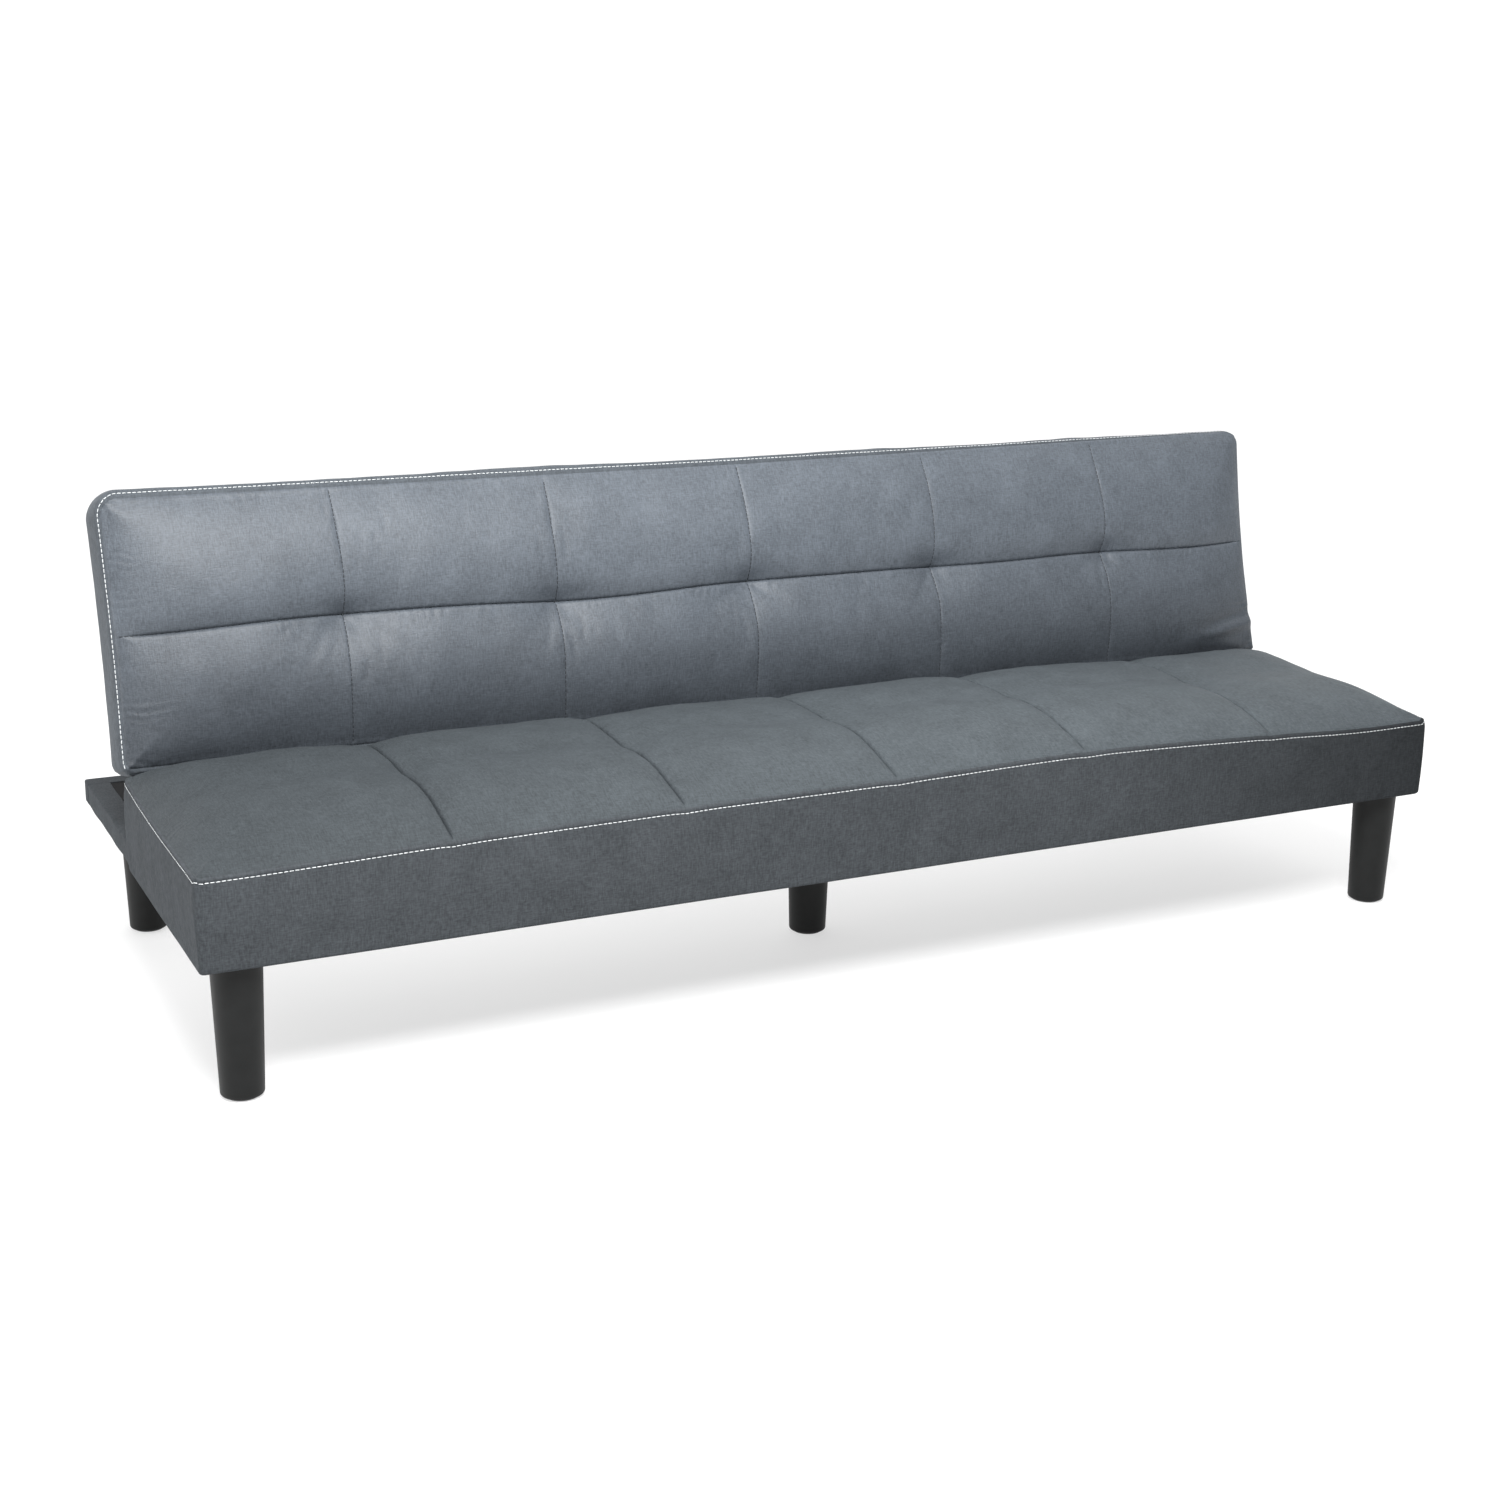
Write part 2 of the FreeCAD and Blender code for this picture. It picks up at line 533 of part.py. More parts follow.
# ---------------------------------------------------------------- backrest, drawn folded flat
def build_backrest():
    y = BACK_Y
    outer = padded_block(y, BACK_UNDER, 0.0, BACK_PADDING)
    inner = padded_block(y, BACK_UNDER - 1.0, COVER, BACK_PADDING)
    slots = group([side_box(s, (ARM_X[0] - 1.0, ARM_X[1] + 1.0), (y[0] - 1.0, y[0] + 30.0),
                            (ARM_STRIP_Z[0] - 2.0, ARM_STRIP_Z[1] + 2.0)) for s in SIDES.values()])
    save("back_cover", turned_up(outer.cut(inner).cut(slots)))
    panel = box((-HALF + 2.0, HALF - 2.0), (y[0] + 2.0, y[1] - 2.0), (BACK_UNDER, BACK_UNDER + 1.5))
    save("back_rear_panel", turned_up(round_uprights(panel, 6.0, BACK_CORNERS[1] - 2.0)))

    frame_z = (FRAME_BOTTOM, FRAME_TOP)
    inside = DISC_X[0]
    bottom_y = (y[0] + 2.5, y[0] + 2.5 + STILE)
    top_y = (y[1] - 6.0 - STILE, y[1] - 6.0)
    save("back_bottom_rail", turned_up(box((-inside, inside), bottom_y, frame_z).cut(slots)))
    save("back_top_rail", turned_up(box((-inside, inside), top_y, frame_z)))
    for name, side in SIDES.items():
        stile = side_box(side, (inside, inside + STILE), (bottom_y[0], top_y[1]), frame_z)
        for bolt in arm_bolts(side):
            stile = stile.cut(bolt)
        save("back_end_stile_" + name, turned_up(stile))
    mids = [side_box(s, (MID_STILE_X - 10.0, MID_STILE_X + 10.0), (bottom_y[1], top_y[0]),
                     (FRAME_BOTTOM, FRAME_TOP - 5.0)) for s in SIDES.values()]
    save("back_mid_stiles", turned_up(group(mids)))
    middle = (STRAP_COUNT - 1) / 2
    straps = []
    for i in range(STRAP_COUNT):
        x = (i - middle) * STRAP_PITCH
        straps.append(box((x - STRAP_WIDTH / 2, x + STRAP_WIDTH / 2), (bottom_y[0] + 4.0, top_y[1] - 4.0),
                          (FRAME_TOP, FRAME_TOP + 2.0)))
    save("back_webbing", turned_up(group(straps)))
    save("back_foam", turned_up(padded_block(y, FRAME_TOP + 3.0, COVER + 0.3, BACK_PADDING)))


os.makedirs("parts", exist_ok=True)
build_base()
build_legs()
build_seat()
build_hinges()
build_backrest()
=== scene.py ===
"""The looks of a click-clack sofa bed, built in Blender 4.5 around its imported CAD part.

Everything is in metres, in the part's own frame: X along the sofa, Y from front to rear, Z up.
A cushion is first made lying flat, x across it and y from its near edge to its far edge, with its
edge seam at z = 0. The seat stays like that, and the backrest is then turned up about its hinge.
"""

import json
import math
from dataclasses import dataclass, replace

import bpy
import numpy as np
from mathutils import Matrix, Vector


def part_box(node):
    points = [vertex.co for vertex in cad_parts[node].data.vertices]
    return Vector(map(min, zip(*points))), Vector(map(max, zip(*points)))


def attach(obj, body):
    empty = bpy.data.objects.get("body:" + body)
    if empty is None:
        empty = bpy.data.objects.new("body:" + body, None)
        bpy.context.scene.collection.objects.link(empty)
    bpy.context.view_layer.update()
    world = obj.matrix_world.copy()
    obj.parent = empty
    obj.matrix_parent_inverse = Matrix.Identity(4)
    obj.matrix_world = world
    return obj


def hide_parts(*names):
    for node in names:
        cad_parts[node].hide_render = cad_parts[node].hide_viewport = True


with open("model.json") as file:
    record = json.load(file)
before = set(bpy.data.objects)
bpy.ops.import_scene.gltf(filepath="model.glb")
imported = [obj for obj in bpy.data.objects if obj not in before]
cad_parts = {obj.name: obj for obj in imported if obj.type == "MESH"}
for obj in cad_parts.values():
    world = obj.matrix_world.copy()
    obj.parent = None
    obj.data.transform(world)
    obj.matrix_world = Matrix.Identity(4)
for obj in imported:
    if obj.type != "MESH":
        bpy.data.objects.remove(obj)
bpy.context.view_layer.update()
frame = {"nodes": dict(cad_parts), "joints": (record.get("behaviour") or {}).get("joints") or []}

FOLD = next(joint for joint in frame["joints"] if joint["name"] == "backrest_fold")
PIVOT = Vector(FOLD["pos_m"])
RECLINED = math.radians(FOLD["range_deg"][1])
TURN_UP = Matrix.Translation(PIVOT) @ Matrix.Rotation(RECLINED, 4, "X") @ Matrix.Translation(-PIVOT)

SEAT_LOW, SEAT_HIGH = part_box("seat_cover")

HALF_LENGTH = 0.900        # half the sofa's length
BACK_UNDERSIDE = 0.2031    # height of the back cushion's rear face, with the sofa opened flat
CENTRE_RAIL = 0.016        # x of the rail under the seat that the dust cover is fixed to
MID_STILES = 0.300         # distance of the backrest's two inner stiles from its middle

# room for the hinges, as distances from the middle of the sofa
HUB_FROM, HUB_TO = 0.843, 0.870
HUB_FOOT = 0.237           # height down to which the seat's boxing is let in for a hub
HUB_ROOM = 0.017           # and how deep
PLATE_PLACE, PLATE_REACH = 0.857, 0.024
PLATE_ROOM = 0.0028        # how deep the back's boxing is let in beside a fixed plate

PITCH = 0.0030             # size of a quad in the middle of a cushion
FINEST = 0.0006            # size of a quad at a seam
EDGE_SEAM_Z = 0.2845       # height of the cushions' edge seams, with the sofa opened flat
PANEL_LIP = 0.0035         # how quickly the padding fills the panel just inside its edge seam
STITCH_DROP = 0.0068       # from the edge seam to the line of white stitches, over the boxing
HEM_RADIUS = 0.0035        # of the fold where the boxing turns under the cushion
STITCH_PITCH = 0.0064
STITCH_LENGTH = 0.0050
THREAD = 0.00058           # radius of the white thread

# cloth simulation of a cushion's panel
CLOTH_PITCH = 0.0055
CLOTH_PRESSURE = 3.0
CLOTH_EXCESS = 0.0004      # share by which the cloth is longer than the seams that hold it
CLOTH_FRAMES = 20
CLOTH_CAP = 0.004          # the furthest that a point may move

WRAP_EDGE = 0.0022         # radius of the wrapped rails' edges
WRAP_PITCH = 0.006         # quads on the wrapped rails
CLOTH_GRID = 0.008         # quads on the two thin cloths
CLOTH_THICKNESS = 0.0010
STAPLE_PITCH = 0.060
HEM_INSET = 0.012          # how far inside the cushion's edge the rear panel is folded under
SEAM_WIDTH = 0.0013        # of the narrow part of a sewn channel, each side of the thread
MOTTLE = 0.40              # how far the fabric's shade varies between its threads

# camera
CAMERA_PLACE = (-1.3652, -2.6930, 1.0751)
CAMERA_YAW = math.radians(26.43)
CAMERA_PITCH = math.radians(15.44)
CAMERA_ROLL = math.radians(0.78)
CAMERA_LENS = 52.1


@dataclass
class Quilt:
    """Sizes of a boxed cushion with a quilted top panel."""

    half: float            # half its length
    depth: float           # from its near edge to its far edge
    drop: float            # from its edge seam's level down to its base
    corners: tuple         # radii of its near left, near right, far left and far right corners, in plan
    crown: float           # how far the middle of the panel is above the edge seam
    near: tuple            # (run, power) of the slope behind the near edge
    far: tuple             # the same for the far edge
    ends: tuple            # the same for the two ends
    seam: tuple            # how high the near edge's seam is at points, each (x as a share of half, height)
    lip: tuple             # how far the far edge's seam rises and leans in, and over what drop
    waist: tuple           # how far the left and right ends are drawn in at their middle
    roll: float            # radius of the boxing's roll outside its seam
    bulge: float           # how far the boxing swells out at half its height
    cross: tuple           # places of the cross seams
    middle: float          # place of the lengthwise seam
    cross_groove: tuple    # (depth of the wide part, its width before and after, depth of the narrow part)
    long_groove: tuple
    sewn: float            # run over which the lengthwise seam deepens from an end
    tuft: tuple            # (depth of the dimple at a crossing, its reach in x, and in y before and after)
    pillow: float          # extra height of the cells between seams
    crease: float          # depth of the creases that run from a tuft
    pucker: float          # height of the fine gathers along seams and ends
    slip: tuple            # shares of the roll by which the cover has slipped to the left and right ends
    shoulder: tuple        # (width, drop) by which the right end is rounded off at its top
    folds: tuple           # large folds, each (x, y, turn in degrees, length, width, height)
    held: str              # which seams the simulation holds besides the edges: "cross" or "lengthwise"
    seed: int


NO_GROOVE = (0.0, 0.01, 0.01, 0.0)
SEAT_ROLL = 0.002
SEAT = Quilt(
    half=HALF_LENGTH - SEAT_ROLL,
    depth=SEAT_HIGH.y - SEAT_LOW.y - 2 * SEAT_ROLL,
    drop=EDGE_SEAM_Z - SEAT_LOW.z,
    corners=(0.005, 0.014, 0.008, 0.008),
    crown=0.036,
    near=(0.130, 1.9),
    far=(0.110, 1.8),
    ends=(0.090, 2.0),
    seam=((-1.0, 0.003), (-0.67, 0.0095), (-0.33, 0.013), (0.0, 0.014), (0.33, 0.0185), (0.67, 0.0085),
          (0.85, 0.0005), (1.0, 0.0005)),
    lip=(0.0135, 0.016, 0.020),
    waist=(0.0, 0.0),
    roll=SEAT_ROLL,
    bulge=0.0016,
    cross=(-0.597, -0.300, 0.001, 0.292, 0.606),
    middle=0.202,
    cross_groove=(0.0034, 0.013, 0.024, 0.0075),
    long_groove=(0.0016, 0.035, 0.035, 0.0),
    sewn=0.300,
    tuft=(0.0022, 0.034, 0.030, 0.022),
    pillow=0.0036,
    crease=0.0006,
    pucker=0.00035,
    slip=(0.0, 0.0),
    shoulder=(0.007, 0.015),
    folds=(),
    held="cross",
    seed=3,
)
BACK_ROLL = 0.011
BACK_REACH = 0.3645
BACK_START = 0.0735        # from the middle of the sofa to the opened backrest's near edge
BACK = Quilt(
    half=HALF_LENGTH - BACK_ROLL,
    depth=BACK_REACH - 2 * BACK_ROLL,
    drop=EDGE_SEAM_Z - BACK_UNDERSIDE,
    corners=(0.008, 0.008, 0.022, 0.028),
    crown=0.025,
    near=(0.145, 2.4),
    far=(0.150, 2.1),
    ends=(0.120, 2.0),
    seam=((-1.0, 0.0), (1.0, 0.0)),
    lip=(0.0, 0.0, 0.020),
    waist=(0.002, 0.007),
    roll=BACK_ROLL,
    bulge=0.0024,
    cross=(-0.596, -0.297, -0.001, 0.303, 0.605),
    middle=0.171,
    cross_groove=(0.0003, 0.012, 0.012, 0.0009),
    long_groove=(0.0050, 0.046, 0.016, 0.0046),
    sewn=0.060,
    tuft=(0.0165, 0.046, 0.034, 0.022),
    pillow=0.0030,
    crease=0.0010,
    pucker=0.0014,
    slip=(0.50, 0.85),
    shoulder=(0.0, 0.01),
    folds=((0.835, 0.035, 8, 0.075, 0.0075, 0.0052), (0.840, 0.053, 8, 0.060, 0.0080, -0.0036)),
    held="lengthwise",
    seed=11,
)


# ---------------------------------------------------------------- shape of a cushion


def waves(seed, length, count=14):
    """A smooth random field over x and y, from -1 to 1 or so, whose swells are about length long."""
    picks = np.random.default_rng(seed)
    turn = picks.uniform(0, 2 * math.pi, count)
    size = 2 * math.pi / (length * picks.uniform(0.7, 1.6, count))
    start = picks.uniform(0, 2 * math.pi, count)

    def field(x, y):
        total = np.zeros(np.broadcast(x, y).shape)
        for k in range(count):
            total += np.sin(size[k] * (x * math.cos(turn[k]) + y * math.sin(turn[k])) + start[k])
        return total / math.sqrt(count / 2)

    return field


def graded(stops, finest, pitch):
    """Grid lines through all the stops, finest beside each stop and pitch in between."""
    lines = [stops[0]]
    for low, high in zip(stops, stops[1:]):
        steps, step, reached = [], finest, 0.0
        while step < pitch and reached + step < (high - low) * 0.4:
            steps.append(step)
            reached += step
            step *= 1.4
        between = high - low - 2 * reached
        count = max(1, round(between / pitch))
        for size in steps + [between / count] * count + steps[::-1]:
            lines.append(lines[-1] + size)
        lines[-1] = high
    return np.array(lines)


def round_corners(x, y, quilt):
    """Moves the points of a rectangle's grid in from its corners, so that those become round."""
    x, y = x.copy(), y.copy()
    near_left, near_right, far_left, far_right = quilt.corners
    for side, near, far in ((-1, near_left, far_left), (1, near_right, far_right)):
        for radius, edge, inward in ((near, 0.0, 1), (far, quilt.depth, -1)):
            centre_x, centre_y = side * (quilt.half - radius), edge + inward * radius
            a = (x - centre_x) * side / radius
            b = (y - centre_y) * -inward / radius
            inside = (a > 0) & (b > 0)
            a, b = a[inside], b[inside]
            x[inside] = centre_x + side * radius * (a * np.sqrt(1 - b * b / 2))
            y[inside] = centre_y - inward * radius * (b * np.sqrt(1 - a * a / 2))
    return x, y


def slope(distance, run, power):
    """Rises from 0 at an edge to 1 at run away from it."""
    share = np.clip(distance / run, 0, 1)
    return 1 - (1 - share) ** power


def wide_groove(distance, depth, before, after):
    """Depth of the wide part of a sewn channel, which is wider on one side than on the other."""
    width = np.where(distance < 0, before, after)
    return depth * np.exp(-np.abs(distance / width) ** 1.6)


def thread_groove(distance, depth):
    """Depth of the narrow part of a sewn channel, right at its thread."""
    return depth * np.exp(-np.abs(distance) / SEAM_WIDTH)


def curved(at, points):
    """A smooth curve through points, level at both ends and turning evenly between them."""
    places, heights = np.array(points).T
    turns = np.zeros(len(places))
    turns[1:-1] = (heights[2:] - heights[:-2]) / (places[2:] - places[:-2])
    at = np.clip(at, places[0], places[-1])
    k = np.clip(np.searchsorted(places, at) - 1, 0, len(places) - 2)
    span = places[k + 1] - places[k]
    t = (at - places[k]) / span
    rise = heights[k] * (1 + 2 * t) * (1 - t) ** 2 + heights[k + 1] * t ** 2 * (3 - 2 * t)
    return rise + span * (turns[k] * t * (1 - t) ** 2 - turns[k + 1] * t ** 2 * (1 - t))


def edge_level(x, y, quilt):
    """Height of the edge seam's level: it arcs up between the ends, and rises to the far edge's lip."""
    back = slope(np.maximum(y - 0.35 * quilt.depth, 0), 0.65 * quilt.depth, 1.0) ** 2
    return curved(x / quilt.half, quilt.seam) * (1 - back) + quilt.lip[0] * back


def cross_seam(k, y, quilt):
    """Where cross seam k runs: nearly straight, with a little wander."""
    return quilt.cross[k] + 0.0009 * waves(quilt.seed + 20 + k, 0.25)(0 * y, y)


def long_seam(x, quilt):
    """Where the lengthwise seam runs: nearly straight, with a little more wander."""
    return quilt.middle + 0.0025 * waves(quilt.seed + 30, 0.35)(x, 0 * x)


def follow_seams(x, y, quilt):
    """Shifts a grid so that its finest lines run along the wandering seams."""
    shift = np.zeros(x.shape)
    for k, straight in enumerate(quilt.cross):
        shift += (cross_seam(k, y, quilt) - straight) * np.exp(-(((x - straight) / 0.025) ** 2))
    rise = (long_seam(x, quilt) - quilt.middle) * np.exp(-(((y - quilt.middle) / 0.040) ** 2))
    return x + shift, y + rise


def creases(to_cross, to_long, k, quilt):
    """Soft creases that run out and down from tuft k."""
    picks = np.random.default_rng(quilt.seed * 50 + k)
    depth = np.zeros(np.shape(to_cross))
    for side in (-1, -1, -1, 1, 1, 1):
        angle = math.radians(picks.uniform(15, 70))
        length, width = picks.uniform(0.035, 0.085), picks.uniform(0.0045, 0.0090)
        strength, bend = picks.uniform(0.2, 1.0), picks.uniform(-2.0, 4.0)
        along = side * to_cross * math.cos(angle) - to_long * math.sin(angle)
        across = side * to_cross * math.sin(angle) + to_long * math.cos(angle) + bend * along * along
        fade = slope(np.maximum(along - 0.004, 0), 0.016, 1.5) * np.exp(-(np.maximum(along, 0) / length) ** 2)
        fold = np.exp(-((across / width) ** 2)) - 0.6 * np.exp(-(((across - 1.9 * width) / width) ** 2))
        depth += strength * fade * fold
    return quilt.crease * depth


def gathers(distance, along, reach, pitch, seed):
    """Fine ridges across a seam or edge, in patches, dying away over reach."""
    patch = np.clip(waves(seed, 0.09)(along, 0 * along) + 0.1, 0, 1.4)
    phase = 2 * math.pi * along / pitch + 1.6 * waves(seed + 1, 0.05)(along, distance)
    near_seam = np.clip(np.abs(distance) / 0.004, 0, 1) * np.exp(-np.abs(distance) / reach)
    return np.sin(phase) * patch * near_seam


def panel(x, y, quilt):
    """Height of the quilted top panel above the edge seam's level at the ends."""
    near_edge = np.maximum(y, 0)
    far_edge = np.maximum(quilt.depth - y, 0)
    end_edge = np.maximum(quilt.half - np.abs(x), 0)
    edge = np.minimum(np.minimum(near_edge, far_edge), end_edge)
    dome = slope(near_edge, *quilt.near) * slope(far_edge, *quilt.far) * slope(end_edge, *quilt.ends)
    inner = slope(edge, 0.060, 2.0)
    height = edge_level(x, y, quilt) + quilt.crown * dome + PANEL_LIP * (slope(edge, 0.018, 2.2) - inner)

    to_long = y - long_seam(x, quilt)
    sewn = slope(end_edge, quilt.sewn, 2.0)
    depth, before, after, thread_depth = quilt.long_groove
    channel = wide_groove(to_long, depth, before, after) + thread_groove(to_long, thread_depth)
    height -= channel * sewn * slope(edge, 0.030, 2.0)
    nearest = np.full(np.shape(x), 9.0)
    for k in range(len(quilt.cross)):
        to_cross = x - cross_seam(k, y, quilt)
        nearest = np.where(np.abs(to_cross) < np.abs(nearest), to_cross, nearest)
        close = np.abs(to_cross) < 0.14
        height[close] -= (creases(to_cross, to_long, k, quilt) * inner)[close]
        ridges = gathers(to_cross, y, 0.008, 0.0072, quilt.seed + 40 + k)
        height[close] += 0.45 * quilt.pucker * ridges[close]
    depth, before, after, thread_depth = quilt.cross_groove
    height -= wide_groove(nearest, depth, before, after) * (0.30 + 0.70 * inner)
    height -= thread_groove(nearest, thread_depth) * (0.05 + 0.95 * slope(edge, 0.022, 2.0))
    reach_y = np.where(to_long < 0, quilt.tuft[2], quilt.tuft[3])
    spread = np.hypot(nearest / quilt.tuft[1], to_long / reach_y)
    height -= quilt.tuft[0] * np.exp(-(spread ** 1.3))
    away = slope(np.abs(nearest), 0.130, 2.0) * (1 - (1 - slope(np.abs(to_long), 0.085, 2.0)) * sewn)
    height += quilt.pillow * away * inner

    for fold_x, fold_y, turn, length, width, lift in quilt.folds:
        turn = math.radians(turn)
        along = (x - fold_x) * math.cos(turn) + (y - fold_y) * math.sin(turn)
        off = (y - fold_y) * math.cos(turn) - (x - fold_x) * math.sin(turn)
        height += lift * np.exp(-((along / length) ** 2) - (off / width) ** 2)
    height += 1.1 * quilt.pucker * gathers(end_edge, y, 0.026, 0.0095, quilt.seed + 50)
    height += 0.5 * quilt.pucker * gathers(to_long, x, 0.010, 0.0130, quilt.seed + 52) * inner
    height += 0.4 * quilt.pucker * gathers(near_edge, x, 0.010, 0.0140, quilt.seed + 54)
    height += 0.4 * quilt.pucker * gathers(far_edge, x, 0.010, 0.0140, quilt.seed + 56)
    lumps = waves(quilt.seed + 1, 0.16)
    small_lumps = waves(quilt.seed + 2, 0.045)
    height += inner * (0.0010 * lumps(x, y) + 0.00022 * small_lumps(x, y))
    return height - 0.0014 * np.exp(-edge / 0.0013)


def drape(quilt):
    """Cloth simulation of the panel: it swells between its edges and the seams that hold it.

    Returns how far each point of an even grid moves, with the grid's lines.
    """
    across = max(8, round(2 * quilt.half / CLOTH_PITCH))
    deep = max(8, round(quilt.depth / CLOTH_PITCH))
    lines_x = np.linspace(-quilt.half, quilt.half, across + 1)
    lines_y = np.linspace(0, quilt.depth, deep + 1)
    x, y = np.meshgrid(lines_x, lines_y, indexing="ij")
    unsewn = replace(quilt, crease=0.0, pucker=0.0, tuft=(0.0, *quilt.tuft[1:]))
    unsewn = replace(unsewn, cross_groove=NO_GROOVE, long_groove=NO_GROOVE)
    start = np.stack([x, y, panel(x, y, unsewn)], axis=-1).reshape(-1, 3)
    number = np.arange(len(start)).reshape(x.shape)
    corners = [number[:-1, :-1], number[1:, :-1], number[1:, 1:], number[:-1, 1:]]
    mesh = bpy.data.meshes.new("drape")
    mesh.from_pydata(start, [], np.stack(corners, axis=-1).reshape(-1, 4).tolist())
    cloth = add("drape", mesh)

    if quilt.held == "cross":
        to_seam = np.min([np.abs(x - cross_seam(k, y, quilt)) for k in range(len(quilt.cross))], axis=0)
    else:
        to_seam = np.abs(y - long_seam(x, quilt))
    to_edge = np.minimum(np.minimum(y, quilt.depth - y), quilt.half - np.abs(x))
    held = (np.minimum(to_seam, to_edge) < CLOTH_PITCH * 0.55).reshape(-1)
    group = cloth.vertex_groups.new(name="held")
    group.add(np.flatnonzero(held).tolist(), 1.0, "REPLACE")

    modifier = cloth.modifiers.new("cloth", "CLOTH")
    settings = modifier.settings
    settings.quality = 6
    settings.mass = 0.25
    settings.tension_stiffness = settings.compression_stiffness = 12
    settings.shear_stiffness = 6
    settings.bending_stiffness = 0.6
    settings.air_damping = 2.0
    settings.use_pressure = True
    settings.uniform_pressure_force = CLOTH_PRESSURE
    settings.shrink_min = settings.shrink_max = -CLOTH_EXCESS
    settings.vertex_group_mass = "held"
    settings.effector_weights.gravity = 0
    modifier.collision_settings.use_collision = False
    scene = bpy.context.scene
    for step in range(1, CLOTH_FRAMES + 1):
        scene.frame_set(step)
    settled = cloth.evaluated_get(bpy.context.evaluated_depsgraph_get()).data
    after = np.empty(len(start) * 3)
    settled.vertices.foreach_get("co", after)
    moved = after.reshape(-1, 3) - start
    size = np.linalg.norm(moved, axis=1, keepdims=True)
    moved *= np.minimum(1, CLOTH_CAP / np.maximum(size, 1e-9))
    scene.frame_set(1)
    bpy.data.objects.remove(cloth)
    return lines_x, lines_y, moved.reshape(*x.shape, 3)


def sampled(grid, x, y):
    """Smooth values of a drape's grid at other points, by cubic interpolation both ways."""
    lines_x, lines_y, field = grid
    total = np.zeros((*np.shape(x), 3))
    weights = []
    for lines, at in ((lines_x, x), (lines_y, y)):
        place = np.clip((at - lines[0]) / (lines[1] - lines[0]), 0, len(lines) - 1.001)
        whole = np.floor(place).astype(int)
        t = place - whole
        taps = (
            -t ** 3 + 2 * t ** 2 - t,
            3 * t ** 3 - 5 * t ** 2 + 2,
            -3 * t ** 3 + 4 * t ** 2 + t,
            t ** 3 - t ** 2,
        )
        weights.append([(np.clip(whole + k - 1, 0, len(lines) - 1), tap / 2) for k, tap in enumerate(taps)])
    for column, share_x in weights[0]:
        for row, share_y in weights[1]:
            total += field[column, row] * (share_x * share_y)[..., None]
    return total


def settle(x, y, below, quilt):
    """Draws the ends in at their waist, and leans the far edge's seam in, over a drop below it."""
    share = np.clip(y / quilt.depth, 0, 1)
    draw = np.where(x < 0, quilt.waist[0], quilt.waist[1]) * np.sin(math.pi * share)
    x = x * (1 - draw / quilt.half * np.abs(x / quilt.half) ** 3)
    lean = slope(np.maximum(y - quilt.depth + 0.060, 0), 0.060, 1.0) ** 2 * max(0, 1 - below / quilt.lip[2])
    end = np.clip(x / quilt.half, -1, 1)
    left, right = (quilt.roll * part for part in quilt.slip)
    width, drop = quilt.shoulder
    rounded = width * np.clip(end, 0, 1) ** 40 * max(0, 1 - below / drop) ** 2
    slip = np.where(end < 0, -left, right) * np.abs(end)
    return x + slip * np.abs(end) - rounded, y - quilt.lip[1] * lean + np.maximum(slip, 0) * share


def over_roll(along, quilt):
    """(distance below the edge seam, distance out) at a length along the boxing from its seam."""
    quarter = quilt.roll * math.pi / 2
    if along > quarter:
        return quilt.roll + along - quarter, quilt.roll
    angle = along / quilt.roll
    return quilt.roll * (1 - math.cos(angle)), quilt.roll * math.sin(angle)


def wall_profile(quilt):
    """(below, out) down the boxing, with the lip of its seam and the dent of its stitches."""
    finest = [0.0, 0.0008, 0.0018, 0.0032, 0.0048, STITCH_DROP - 0.0008, STITCH_DROP, STITCH_DROP + 0.0012]
    length = quilt.drop + quilt.roll * (math.pi / 2 - 1)
    profile = []
    for along in finest + list(np.arange(finest[-1] + PITCH, length - HEM_RADIUS - 0.001, PITCH * 1.5)):
        below, outward = over_roll(along, quilt)
        lip = 0.0007 * math.sin(math.pi * min(along / STITCH_DROP, 1)) - 0.0010 * math.exp(-along / 0.0008)
        tuck = -0.0004 * math.exp(-(((along - STITCH_DROP) / 0.0009) ** 2))
        profile.append((below, outward + lip + tuck))
    for step in range(1, 5):
        angle = step * math.pi / 8
        turned = HEM_RADIUS * (math.cos(angle) - 1)
        profile.append((quilt.drop - HEM_RADIUS + HEM_RADIUS * math.sin(angle), quilt.roll + turned))
    return profile


def add(name, data):
    """A new object in the scene."""
    thing = bpy.data.objects.new(name, data)
    bpy.context.scene.collection.objects.link(thing)
    return thing


def link(name, points, faces, materials, place=None):
    """A new smooth object from points and faces, turned and moved by place."""
    mesh = bpy.data.meshes.new(name)
    mesh.from_pydata(points, [], faces)
    if place is not None:
        mesh.transform(place)
    mesh.validate()
    mesh.shade_smooth()
    for material in materials:
        mesh.materials.append(material)
    return add(name, mesh)


